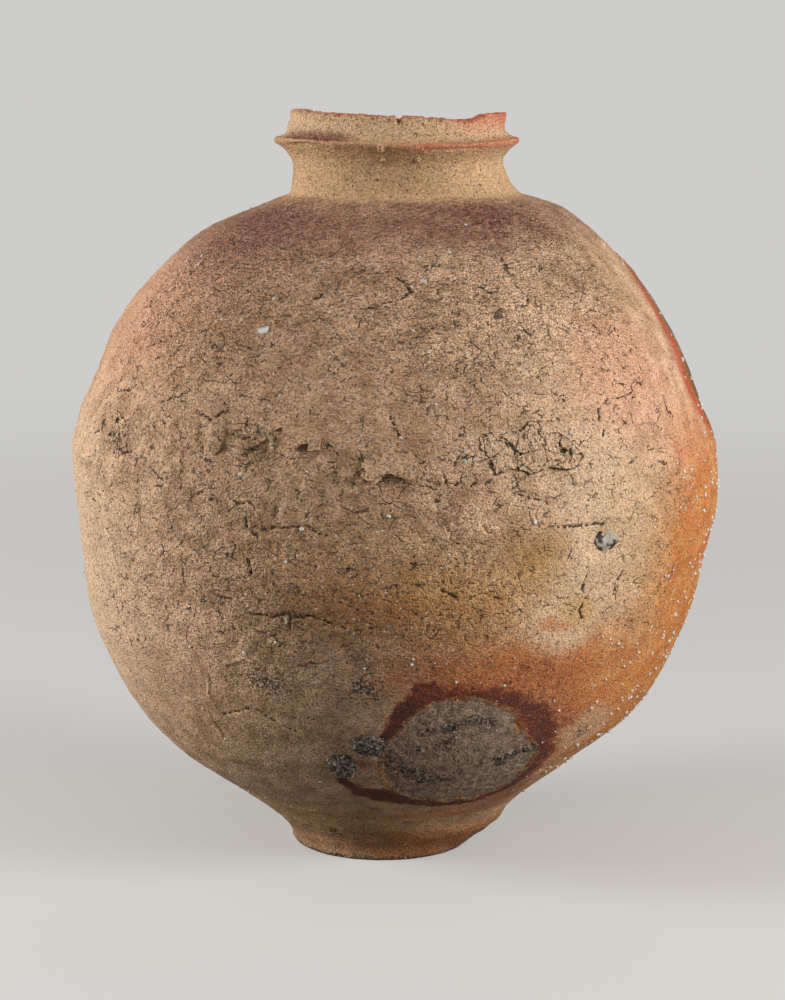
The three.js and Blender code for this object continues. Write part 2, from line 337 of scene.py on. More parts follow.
def oval(turn, at, half_turn, half_height, soft, ragged=1.0):
    """1 inside an oval, fading to 0 over its soft edge, which the fire made ragged."""
    turn_off = (TURN + 0.45 * ragged * WARP - turn + 180) % 360 - 180
    up = HEIGHT + ragged * WARP_UP - at
    distance = np.hypot(turn_off / half_turn, up / half_height)
    return ramp(distance, 1 + soft, 1 - soft)


def blended(ovals):
    """Several ovals as one field; each is turn, height, half sizes, softness and strength."""
    bare = np.ones_like(TURN)
    for turn, at, half_turn, half_height, soft, strength in ovals:
        bare *= 1 - strength * oval(turn, at, half_turn, half_height, soft)
    return 1 - bare


def inside_of(corners, a, b):
    """How far points lie inside a shape given by its corners, in millimetres; negative outside."""
    nearest = np.full(a.shape, FAR)
    within = np.zeros(a.shape, bool)
    for (x0, y0), (x1, y1) in zip(corners, corners[1:] + corners[:1]):
        wide, tall = x1 - x0, y1 - y0
        share = np.clip(((a - x0) * wide + (b - y0) * tall) / (wide**2 + tall**2), 0, 1)
        nearest = np.minimum(nearest, np.hypot(a - x0 - share * wide, b - y0 - share * tall))
        within ^= ((y0 > b) != (y1 > b)) & (a < wide * (b - y0) / (tall + 1e-9) + x0)
    return np.where(within, nearest, -nearest)


def distance_to(line, reach, ragged):
    """Distance in millimetres to a line given as turns and heights, as far as it reaches."""
    line = np.array(line, float)
    middle = line[:, 0].mean()
    at_travel = travel_at(line[:, 1])
    at_radius = np.interp(line[:, 1], outside[:crest, 1], outside[:crest, 0])
    across = np.radians(line[:, 0] - middle) * at_radius
    margin = np.degrees(reach / at_radius.min()) + 2
    near_rows = (travel > at_travel.min() - reach) & (travel < at_travel.max() + reach)
    near_columns = np.abs(np.degrees(turns) - middle) < np.ptp(line[:, 0]) / 2 + margin
    window = np.ix_(near_rows, near_columns)
    aside = np.radians(TURN[window] - middle) * radius[near_rows, None] + ragged * RAGGED_ACROSS[window]
    above = TRAVEL[window] + ragged * RAGGED_UP[window]
    best = np.full(aside.shape, FAR, np.float32)
    for i in range(len(line) - 1):
        step = np.array([across[i + 1] - across[i], at_travel[i + 1] - at_travel[i]])
        right, up = aside - across[i], above - at_travel[i]
        share = np.clip((right * step[0] + up * step[1]) / (step @ step), 0, 1)
        best = np.minimum(best, np.hypot(right - share * step[0], up - share * step[1]))
    distance = np.full(TURN.shape, FAR, np.float32)
    distance[window] = best
    return distance


def depth_in(corners):
    """How far places lie inside a shape with corners given as turns and heights, in millimetres."""
    corners = np.array(corners, float)
    middle = corners[:, 0].mean()
    at_radius = np.interp(corners[:, 1], outside[:crest, 1], outside[:crest, 0])
    shape = np.stack([np.radians(corners[:, 0] - middle) * at_radius, travel_at(corners[:, 1])], axis=1)
    near = height < corners[:, 1].max() + SHAPE_MARGIN
    across = np.radians(TURN[near] - middle) * radius[near, None] + 1.5 * RAGGED_ACROSS[near]
    across += 0.4 * WARP[near]
    above = TRAVEL[near] + 1.5 * RAGGED_UP[near]
    above += 0.4 * WARP_UP[near]
    depth = np.full(TURN.shape, -FAR)
    depth[near] = inside_of(shape.tolist(), across, above)
    return depth


# Cracks opened in drying: half width, depth and the line, as turns and heights
CRACKS = [
    (0.40, 1.1, [(-0.2, 357), (1.8, 354), (3.2, 350), (5.5, 350)]),
    (0.35, 1.0, [(3.2, 350), (0.8, 346), (-5, 342), (-8.5, 340)]),
    (0.40, 1.0, [(15.2, 354), (18.5, 352), (21, 349), (23.2, 349)]),
    (0.30, 0.6, [(-7.3, 359), (-2.5, 360)]),
    (0.40, 1.0, [(-20.2, 344), (-17, 346), (-16.5, 348)]),
    (0.30, 0.7, [(28, 367), (28.2, 361)]),
    (0.35, 0.8, [(25.5, 340), (29, 341), (30.2, 345)]),
    (0.30, 0.9, [(25, 333), (26.3, 332)]),
    (0.28, 0.8, [(-0.8, 285), (0.8, 275)]),
    (0.30, 0.6, [(-63.5, 354), (-63, 343)]),
    (0.45, 1.0, [(-62.5, 287), (-57.5, 289), (-55.8, 292)]),
    (0.45, 0.9, [(-45.8, 286), (-42, 290), (-40, 294)]),
    (0.60, 1.4, [(-37, 283), (-34.5, 281), (-32.5, 279), (-31.3, 284)]),
    (0.25, 0.6, [(18.5, 244), (26, 235)]),
    (0.50, 0.7, [(27.5, 221), (30.8, 222), (37, 221)]),
    (0.45, 1.0, [(33.5, 183), (34, 188), (34.5, 193)]),
    (0.50, 1.0, [(34.8, 179), (33.6, 172), (34.4, 166)]),
    (0.40, 0.9, [(40.8, 178), (41.8, 192)]),
    (0.35, 0.8, [(-31.3, 236), (-26.8, 236), (-24, 236)]),
    (0.30, 0.6, [(-23.2, 223), (-21.8, 222), (-18.2, 224), (-14, 225), (-10.5, 219)]),
    (0.38, 0.9, [(-24.5, 173), (-21, 172), (-17.8, 174), (-15.8, 172), (-13.8, 174), (-11.5, 172),
                 (-8, 167)]),
    (0.40, 0.9, [(-17.5, 173), (-17.8, 165)]),
    (0.60, 1.1, [(7.5, 190), (8.8, 187), (10.2, 185)]),
    (0.30, 0.7, [(12, 185), (15, 186), (18.2, 182)]),
    (0.30, 0.7, [(1.5, 193), (4.2, 193)]),
    (0.25, 0.6, [(0.2, 193), (0.2, 184)]),
    (0.25, 0.5, [(-35.5, 107), (-27, 115), (-25.2, 111), (-21.5, 104), (-19.2, 101)]),
    (0.30, 0.7, [(29.5, 203), (30.5, 209), (31.5, 212)]),
    (0.40, 0.9, [(38.8, 285), (38, 277)]),
    (0.45, 0.9, [(38.8, 274), (38.2, 270)]),
    (0.40, 0.9, [(59.3, 287), (59.5, 277), (61.3, 273)]),
    (0.35, 0.8, [(31.3, 293), (31, 289)]),
    (0.35, 0.8, [(44.5, 328), (45.5, 322)]),
    (0.30, 0.7, [(50.5, 325), (50.8, 320)]),
    (0.60, 1.2, [(-24.8, 227), (-24.6, 222)]),
    (0.70, 1.4, [(-24.6, 204), (-24.2, 196)]),
    (0.32, 1.0, [(-63.9, 273), (-61.1, 268)]),
    (0.40, 0.9, [(-64.6, 262), (-61.8, 265), (-62.8, 269)]),
    (0.40, 0.9, [(-59.3, 277), (-56.9, 271)]),
    (0.40, 0.9, [(-54.1, 274), (-53.1, 269)]),
    (0.32, 1.2, [(-55.5, 265), (-53.5, 259), (-54.5, 257), (-52.5, 256), (-51.1, 258)]),
    (0.30, 1.0, [(-53.5, 255), (-52.1, 253)]),
    (0.30, 1.0, [(-57.6, 265), (-56.2, 264)]),
    (0.50, 1.0, [(-45, 278), (-43.4, 274)]),
    (0.35, 0.8, [(-34.1, 266), (-33.8, 259), (-31.2, 256)]),
    (0.40, 0.9, [(-28.4, 273), (-25.9, 271), (-23.7, 271)]),
    (0.35, 1.0, [(5.3, 250), (6.6, 248.5)]),
    (0.35, 1.0, [(7.8, 252.5), (8.4, 249)]),
    (0.35, 1.0, [(9.6, 248), (10.8, 250.5)]),
    (0.40, 1.1, [(12.4, 246.5), (13.2, 248.5), (13, 251.5)]),
    (0.35, 0.9, [(14.6, 248.5), (15.6, 250.5)]),
    (0.35, 0.9, [(9.5, 258), (10.4, 262), (12, 263)]),
    (1.30, 2.0, [(36.6, 215), (36.1, 210), (37.2, 206.5)]),
]

# Rolled edges of clay left by the hand: half width, height and the line
RIDGES = [
    (1.0, 1.1, [(-31, 141), (-27.5, 145), (-24, 145), (-21, 140)]),
    (0.9, 0.8, [(-35.8, 131), (-36.8, 119), (-35.8, 112)]),
    (0.9, 0.7, [(-44, 113), (-40, 113), (-38.5, 106), (-38, 92)]),
]

# Dents and swellings: turn, height, half sizes and depth, or height where it is negative
DENTS = [
    (-46, 262, 6, 9, 3.2),
    (-36, 262, 4, 8, 1.4),
    (-20.5, 264, 3.2, 9, 2.4),
    (-6.5, 254, 2.4, 7, 1.6),
    (-66, 256, 7, 16, -1.2),
    (-40, 243, 18, 9, -1.0),
    (37.4, 211, 4.2, 9, 3.0),
    (41, 258, 3, 4, -1.2),
    (34, 180, 9, 20, 0.9),
    (8, 244, 30, 7, 0.7),
    (60, 282, 14, 20, 0.8),
]

# Where the fine cracks crowd: turn, height, half turn, half height, softness and strength
CROWDED = [
    (12, 325, 15, 36, 0.6, 0.8), (-43, 258, 20, 20, 0.6, 0.9), (-38, 180, 26, 34, 0.6, 0.9),
    (5, 255, 34, 18, 0.7, 0.8), (2, 205, 16, 30, 0.7, 0.7), (33, 262, 12, 26, 0.6, 0.3),
    (-12, 150, 14, 20, 0.7, 0.7), (-30, 310, 14, 20, 0.7, 0.5), (44, 305, 10, 24, 0.7, 0.3),
    (-150, 240, 50, 60, 0.7, 0.7), (-10, 316, 24, 40, 0.7, 0.55),
]

# Colour left by the fire, with painted shade and painted light among it, by mark: turn, height, half turn,
# half height, softness and strength
FIRE = {
    "purple": [
        (-50, 383, 42, 17, 0.9, 0.85), (17, 389, 30, 12, 0.9, 0.8), (-26, 366, 30, 20, 0.9, 0.35),
        (8, 384, 10, 11, 0.8, 0.6), (24, 382, 13, 15, 0.8, 0.7), (-58, 370, 24, 14, 0.9, 0.4),
        (70, 383, 40, 10, 0.8, 0.5), (150, 381, 70, 14, 0.8, 0.5), (-130, 377, 40, 18, 0.8, 0.45),
    ],
    "pink": [
        (49, 300, 15, 34, 0.6, 0.65), (-10.5, 199, 6, 10, 0.7, 0.4), (62, 258, 10, 26, 0.6, 0.5),
        (-64, 340, 24, 44, 0.8, 0.65), (-150, 250, 40, 60, 0.7, 0.4),
    ],
    "gold": [
        (-6, 200, 18, 26, 0.9, 0.35), (23.5, 206, 5, 18, 0.8, 0.75), (12, 184, 14, 20, 0.8, 0.6),
        (50, 205, 12, 40, 0.9, 0.35), (33.5, 172, 3.5, 9, 0.7, 0.7), (62, 150, 14, 50, 0.9, 0.5),
        (-20, 30, 30, 12, 0.8, 0.6),
    ],
    "orange": [
        (74, 180, 22, 88, 0.4, 0.95), (30, 140, 24, 22, 0.6, 0.85), (4, 178, 16, 18, 0.8, 0.3),
        (110, 160, 40, 90, 0.5, 0.9), (160, 120, 40, 60, 0.6, 0.7), (66, 90, 26, 34, 0.5, 0.85),
        (50, 108, 20, 26, 0.7, 0.9), (64, 215, 8, 40, 0.7, 0.4), (24, 26, 30, 14, 0.6, 0.8),
        (120, 40, 70, 30, 0.6, 0.8), (-120, 100, 34, 50, 0.7, 0.5),
    ],
    # Smoke from the fire, and painted shade over the middle of the front, where less light falls
    "smoke_and_shade": [
        (-10, 173, 17, 20, 0.8, 0.8), (6, 150, 10, 16, 0.8, 0.35), (0, 410, 24, 14, 0.8, 0.25),
        (-24, 88, 38, 46, 0.8, 0.35), (-8, 135, 16, 24, 0.8, 0.4), (-178, 150, 40, 60, 0.8, 0.4),
        (-22, 215, 22, 30, 0.9, 0.3), (-30, 268, 24, 14, 0.9, 0.25), (-16, 303, 31, 62, 0.9, 0.34),
        (22.5, 214, 4, 13, 0.8, 0.45), (-32, 335, 20, 26, 0.9, 0.3), (52, 358, 16, 22, 0.8, 0.35),
    ],
    # Pale clay, and painted light on the left side, where the light falls most
    "pale": [
        (36.5, 215, 9.5, 50, 0.4, 0.95), (30, 166, 6.5, 19, 0.4, 0.9), (21, 266, 11, 14, 0.7, 0.5),
        (45.5, 94, 8, 12, 0.5, 0.7), (-78, 180, 19, 84, 0.6, 1.0), (-66, 175, 22, 72, 0.8, 0.5),
        (36, 262, 10, 36, 0.7, 0.75), (30, 320, 14, 30, 0.9, 0.4), (-70, 130, 16, 40, 0.8, 0.7),
        (7.7, 31, 4, 4, 0.8, 0.6),
    ],
    "rust": [
        (17, 137, 19, 15, 0.8, 0.5), (34, 108, 10, 24, 0.8, 0.5), (-5.2, 80, 2, 4, 0.6, 0.6),
    ],
    "soot_and_shade": [
        (-5.8, 131, 3.2, 8, 0.7, 0.75), (-23.2, 132, 3.2, 5.6, 0.7, 0.7), (-24.5, 18, 4, 3, 0.7, 0.8),
        (11.7, 104, 2, 4.5, 0.7, 0.9), (16.3, 109, 1.7, 3.4, 0.7, 0.9),
        (19.2, 106, 1.8, 2.8, 0.7, 0.85), (6.6, 101, 1.8, 3.6, 0.7, 0.65), (4.2, 90, 2.4, 3, 0.7, 0.75),
        (12, 93, 2.4, 3.6, 0.7, 0.7), (8, 30, 1.6, 1.6, 0.7, 0.7), (0, 84, 2, 4, 0.7, 0.8),
        (4.5, 76, 3, 5, 0.7, 0.9), (8.2, 69, 3, 4, 0.7, 0.9), (13.5, 69, 3, 4, 0.7, 0.8),
        (30, 84, 3.4, 6, 0.6, 1), (26, 78, 4, 3, 0.7, 0.8), (45.5, 92, 3, 4, 0.8, 0.5),
    ],
}

# Corners of the scar and of the rust round it, as turns and heights
SCAR = [
    (2.5, 109), (6.5, 121), (10, 124), (16, 122), (20, 118), (24, 111), (28, 96), (33.5, 85), (36, 73),
    (35, 61), (32, 53), (25.5, 49), (16, 50), (9, 53), (2, 59), (-1, 68), (-1.5, 80), (-0.5, 95),
]
RUST = [
    (-2.5, 98), (-0.5, 114), (2, 127), (4.2, 136), (7.4, 136), (8, 133), (14, 135), (24, 130),
    (33, 114), (39, 90), (42, 66), (39, 50), (32, 46), (23, 44), (9.5, 46), (2, 50), (-5, 53),
    (-10, 57), (-13, 69), (-10.5, 70), (-6, 63), (0, 60), (-1, 80),
]

# Melted ash: turn, height, half turn, half height, softness and strength
ASH = [
    (122, 292, 44, 62, 0.12, 1), (100, 330, 22, 34, 0.15, 1), (140, 250, 30, 70, 0.15, 1),
    (96, 285, 18, 30, 0.2, 1), (168, 330, 30, 40, 0.2, 1),
]

# The foot has a colour of its own, with painted shade under the belly, up to this height
FOOT_TONE_TOP = 32


def fire_marks():
    """The fields that colour the clay, by name."""
    wander = cloud(POINTS, 70, 40, 3)
    grain = cloud(POINTS, 9, 41, 3)
    below_neck = ramp(HEIGHT, SHOULDER_HEIGHT + 1, SHOULDER_HEIGHT - 3)
    marks = {name: blended(ovals) for name, ovals in FIRE.items()}
    marks["scar"] = ramp(depth_in(SCAR), -4.5, 4.5)
    soft = 2.5 + 11 * ramp(HEIGHT, 100, 128) * ramp(TURN, 6, 16) + 7 * ramp(TURN, 28, 38)
    rust = ramp(depth_in(RUST), -soft, soft)
    rust *= 1 - 0.18 * ramp(TURN, 7, 20) * ramp(HEIGHT, 62, 90)
    marks["rust"] = np.maximum(rust, marks["rust"] * (0.8 + 0.4 * grain))
    marks["soot_and_shade"] *= ramp(grain, -0.55, 0.25)
    marks["ash"] = ash_field()
    flushed = ash_field(0.22)
    marks["flash"] = ramp(flushed, 0.03, 0.6) * ramp(flushed, 1, 0.9)
    streaks = cloud(drawn_out(30, 3, WIPED), 1, 42, 3)
    marks["purple"] *= below_neck * (0.85 + 0.2 * grain + 0.15 * streaks)
    marks["purple"] += 0.25 * below_neck * ramp(HEIGHT, 366, 390) * ramp(wander, -0.4, 0.4)
    marks["purple"] = np.maximum(marks["purple"], 0.95 * oval(-46, 432, 22, 2, 0.6, 0.1))
    marks["straw"] = 1 - below_neck
    marks["blush"] = blush_field(grain)
    foot = ramp(HEIGHT, FOOT_TONE_TOP, 14)
    golden = foot * (0.1 + 0.4 * ramp(TURN, -18, 8) + 0.2 * grain)
    # Dark brown on the foot, with painted shade that the belly casts on it, and painted shade low on the
    # right of the scar
    marks["umber_and_shade"] = ramp(HEIGHT, 24, 8) * ramp(TURN, -26, 2) * (0.75 + 0.3 * grain)
    marks["umber_and_shade"] = np.maximum(marks["umber_and_shade"], 0.55 * oval(38, 44, 14, 14, 0.8))
    marks["orange"] = np.where(HEIGHT < FOOT_TONE_TOP, golden, marks["orange"])
    # Painted shade over the foot, under the belly
    marks["smoke_and_shade"] = np.maximum(marks["smoke_and_shade"], foot * (0.75 + 0.1 * wander))
    # Painted shade along the bottom edge, where the foot meets the table
    marks["soot_and_shade"] = np.maximum(marks["soot_and_shade"], 0.75 * ramp(HEIGHT, 3.5, 0.5))
    marks["orange"] *= 1 - 0.9 * marks["pale"]
    stain = 0.9 * oval(29, 165, 2.6, 4.5, 0.8) * ramp(grain, -0.4, 0.2)
    marks["orange"] = np.maximum(marks["orange"], stain)
    marks["pale"] = marks["pale"] * (0.85 + 0.3 * grain) + 0.3 * ramp(HEIGHT, FLANGE_TOP, FLANGE_TOP + 4)
    marks["dry"] = dry_field(wander)
    marks["combed"] = combed_field(wander)
    marks["cracked"] = marks["dry"] * (0.3 + 0.7 * blended(CROWDED))
    return {name: np.clip(field, 0, 1).astype(np.float32) for name, field in marks.items()}


def ash_field(spread=0.0):
    """Melted ash on the fire side, thinning into runs at its lower edge; spread widens the edge."""
    streaks = cloud(POINTS * np.array([1, 1, 0.12], np.float32), 9, 51, 2)
    lifted = HEIGHT + 26 * streaks * ramp(HEIGHT, 320, 250)
    bare = np.ones_like(TURN)
    for turn, at, half_turn, half_height, soft, strength in ASH:
        off = (TURN + 0.5 * WARP - turn + 180) % 360 - 180
        distance = np.hypot(off / half_turn, (lifted + WARP_UP - at) / half_height)
        bare *= 1 - strength * ramp(distance, 1 + soft + spread, 1 - soft - spread)
    return (1 - bare) * ramp(HEIGHT, SHOULDER_HEIGHT + 4, SHOULDER_HEIGHT - 8)


def blush_field(grain):
    """Red flush along the lip and the flange, stronger on the right."""
    lip = ramp(HEIGHT, 442.6, 444.2) * (0.8 + 0.2 * ramp(TURN, -20, 40))
    flange = np.exp(-(((HEIGHT - FLANGE_HEIGHT - 1) / 2.2) ** 2)) * (0.25 + 0.75 * ramp(TURN, -12, 12))
    band = 0.75 * ramp(TURN, 12, 60) * ramp(HEIGHT, 432, 440)
    return np.clip((lip + flange + band) * (0.8 + 0.4 * grain), 0, 1)


def facing(left, left_turns, right, right_turns):
    """1 in front and behind, less on the limbs: by how much and over which turns, left and right."""
    left_limb = 1 - left * ramp(TURN, *left_turns) * ramp(TURN, -128, -100)
    return left_limb * (1 - right * ramp(TURN, *right_turns) * ramp(TURN, 170, 130))


def dry_field(wander):
    """Where the clay dried rough and cracked: the front's middle band most, the limbs and foot least."""
    band = ramp(HEIGHT, 95, 180) * ramp(HEIGHT, 396, 350)
    band = np.maximum(band, 0.25 * ramp(HEIGHT, 50, 90) * ramp(HEIGHT, 399, 390))
    field = band * facing(0.75, (-58, -76), 0.85, (48, 66)) * (0.8 + 0.35 * wander)
    field *= 1 - 0.5 * oval(35, 208, 18, 52, 0.6)
    return np.clip(field * (1 - oval(30, 130, 26, 30, 0.6)), 0, 1)


def combed_field(wander):
    """Where the wiping hand left fine lines: the shoulder most, the limbs, the neck and the foot least."""
    field = 0.45 * ramp(HEIGHT, 60, 150) + 0.55 * ramp(HEIGHT, 280, 350)
    field *= ramp(HEIGHT, 399, 394) * (0.9 + 0.3 * wander)
    field *= facing(0.6, (-56, -74), 0.6, (50, 66))
    field *= 1 - 0.7 * oval(40, 195, 18, 70, 0.6)
    return np.maximum(field, 0.3 * ramp(HEIGHT, 396, 402))


marks = fire_marks()


# The outside's relief, in millimetres along the normal

# Creases, chips and beads of the rim: turn, height, half sizes and depth, or height where it is negative
RIM_MARKS = [
    (-42, 431.8, 18, 1.5, 2.8),
    (-52, 426.5, 10, 0.9, 1.0),
    (28, 427.4, 14, 0.9, 1.3),
    (-1.5, 444, 1.5, 3.2, 2.6),
    (14, 444.2, 2.0, 2.0, 1.2),
    (-9, 427, 1.1, 2, -1.8),
    (8.5, 420.5, 1.1, 1.6, -1.5),
    (-8.5, 420, 0.9, 1.4, -1.2),
]


def relief():
    """The shape of the surface over the plain outline, and the distance to the nearest open crack."""
    dry = marks["dry"]
    patchy = cloud(POINTS, 38, 65, 2)

    # Swells of the hand-built wall, its grain, the strokes of the hand and the trimmed foot
    shape = 0.7 * cloud(POINTS, (70, 70, 26), 21, 2) + 0.32 * cloud(POINTS, (34, 34, 9), 22, 2)
    shape *= ramp(HEIGHT, 4, 30) * ramp(HEIGHT, 404, 385)
    shape += (0.12 + 0.3 * dry) * cloud(POINTS, 4.2, 23, 2)
    strokes = cloud(drawn_out(16, 1.6, WIPED), 1, 24, 2)
    shape += 0.2 * strokes * (0.4 + 0.6 * ramp(HEIGHT, 320, 370)) * ramp(HEIGHT, 399, 393)
    shape += 0.2 * cloud(drawn_out(40, 1.9, TRAVEL), 1, 25, 2) * ramp(HEIGHT, 100, 70)
    shape += 0.9 * cloud(POINTS, (16, 16, 8), 26, 2) * ramp(HEIGHT, 36, 14)

    # Plates of dried skin that tilt and step, and pits where grains fell out
    wander = np.stack([cloud(POINTS, 9, seed, 2) for seed in (61, 62, 63)], axis=-1)
    broken = (POINTS + 3.5 * wander) * np.array([1, 1, 1.3], np.float32)
    for size, step, seed in ((7, 0.5, 71), (17, 0.9, 81)):
        _, _, own, lean = cells(broken, size, seed)
        shape += step * (own - 0.5 + 0.9 * lean) * dry * ramp(patchy, -0.35, 0.35)
    spacing = 6
    nearest, _, own, _ = cells(POINTS, spacing, 91)
    pit = np.exp(-((nearest * spacing / 0.8) ** 2)) * (own > 0.86) * (0.3 + 0.7 * ramp(dry, 0, 0.5))
    shape -= 0.9 * pit

    # Open cracks, rolled edges and dents
    gap = np.full(TURN.shape, GAP_REACH, np.float32)
    for width, depth, line in CRACKS:
        distance = distance_to(line, GAP_REACH + 2, 0.9)
        shape -= depth * np.exp(-((distance / max(width, 0.8)) ** 2))
        gap = np.minimum(gap, distance - width)
    gap = np.minimum(gap, GAP_REACH * (1 - 1.1 * pit))
    for width, rise, line in RIDGES:
        shape += rise * np.exp(-((distance_to(line, 4 * width, 0.7) / width) ** 2))
    for turn, at, half_turn, half_height, depth in DENTS:
        shape -= depth * oval(turn, at, half_turn, half_height, 0.8, 0.4)

    # Crust in the scar, and the thickness of the melted ash
    scar = ramp(marks["scar"], 0.35, 0.65)
    crumbs = cells(POINTS, 3.6, 95)[2]
    shape += scar * ((0.3 + 1.1 * marks["soot_and_shade"]) * (crumbs - 0.3) + 0.3 * cloud(POINTS, 3, 96, 2) - 0.5)
    shape += 1.1 * ramp(marks["ash"], 0.3, 0.9) * (0.8 + 0.4 * cloud(POINTS, 14, 97, 2))
    return shape, gap


def lip_shape(shape):
    """Chips, creases and beads of clay on the rim, on top of the wall's relief."""
    chips = cells(POINTS, 4.5, 98)[2]
    at_lip = ramp(HEIGHT, JAR_HEIGHT - 5, JAR_HEIGHT - 1)
    shape -= at_lip * (0.9 * ramp(chips, 0.7, 0.95) + 0.6 * cloud(POINTS, 4, 99, 2))
    for turn, at, half_turn, half_height, depth in RIM_MARKS:
        shape -= depth * oval(turn, at, half_turn, half_height, 0.6, 0.1)
    at_band = ramp(HEIGHT, RIM_JOINT - 3, FLANGE_HEIGHT)
    shape += at_band * (0.7 * cloud(POINTS, (16, 16, 4), 100, 2) + 0.35 * cloud(POINTS, 3.5, 101, 2))
    return shape


surface_relief, gap = relief()
surface_relief = lip_shape(surface_relief)
marks["gap"] = gap
surface_relief *= ramp(TRAVEL, 0.2, 2.5)
surface = POINTS + surface_relief[..., None] * NORMALS
to_flange = ramp(HEIGHT, NECK_HEIGHT, FLANGE_HEIGHT)
to_lip = np.clip((HEIGHT - FLANGE_TOP) / (JAR_HEIGHT - FLANGE_TOP), 0, 1)
flange_rise = np.interp(TURN[0], *zip(*FLANGE_WAVE))
lip_rise = np.interp(TURN[0], *zip(*LIP_WAVE))
surface[..., 2] += to_flange * (1 - to_lip) * flange_rise + to_lip * lip_rise


def grid_normals(grid):
    """Outward normals of a grid of points whose columns close on themselves."""
    across = np.roll(grid, -1, axis=1) - np.roll(grid, 1, axis=1)
    up = np.gradient(grid, axis=0)
    normals = np.cross(across, up)
    return normals / np.maximum(np.linalg.norm(normals, axis=-1, keepdims=True), 1e-9)


surface_normals = grid_normals(surface)


def sampled(field, turn, at):
    """A field of the outside at any turns, in degrees, and lengths along the outline."""
    wrapped = (np.asarray(turn, float) + 180) % 360 - 180
    degrees = np.degrees(turns)
    column = np.interp(wrapped, np.r_[degrees, degrees[0] + 360], np.arange(COLUMNS + 1))
    row = np.interp(at, travel, np.arange(len(travel)))
    low_row = np.clip(row.astype(int), 0, len(travel) - 2)
    low_column = column.astype(int) % COLUMNS
    next_column = (low_column + 1) % COLUMNS
    down, right = row - low_row, column % COLUMNS - low_column
    if field.ndim == 3:
        down, right = down[..., None], right[..., None]
    lower = field[low_row, low_column] * (1 - right) + field[low_row, next_column] * right
    upper = field[low_row + 1, low_column] * (1 - right) + field[low_row + 1, next_column] * right
    return lower * (1 - down) + upper * down


# Materials

def linear(red, green, blue):
    """A colour written in the usual 0 to 255 steps, as the shader takes it."""
    parts = [c / 255 for c in (red, green, blue)]
    return tuple(c / 12.92 if c <= 0.04045 else ((c + 0.055) / 1.055) ** 2.4 for c in parts) + (1.0,)


MIDDLE = (0.5, 0.5, 0.5)


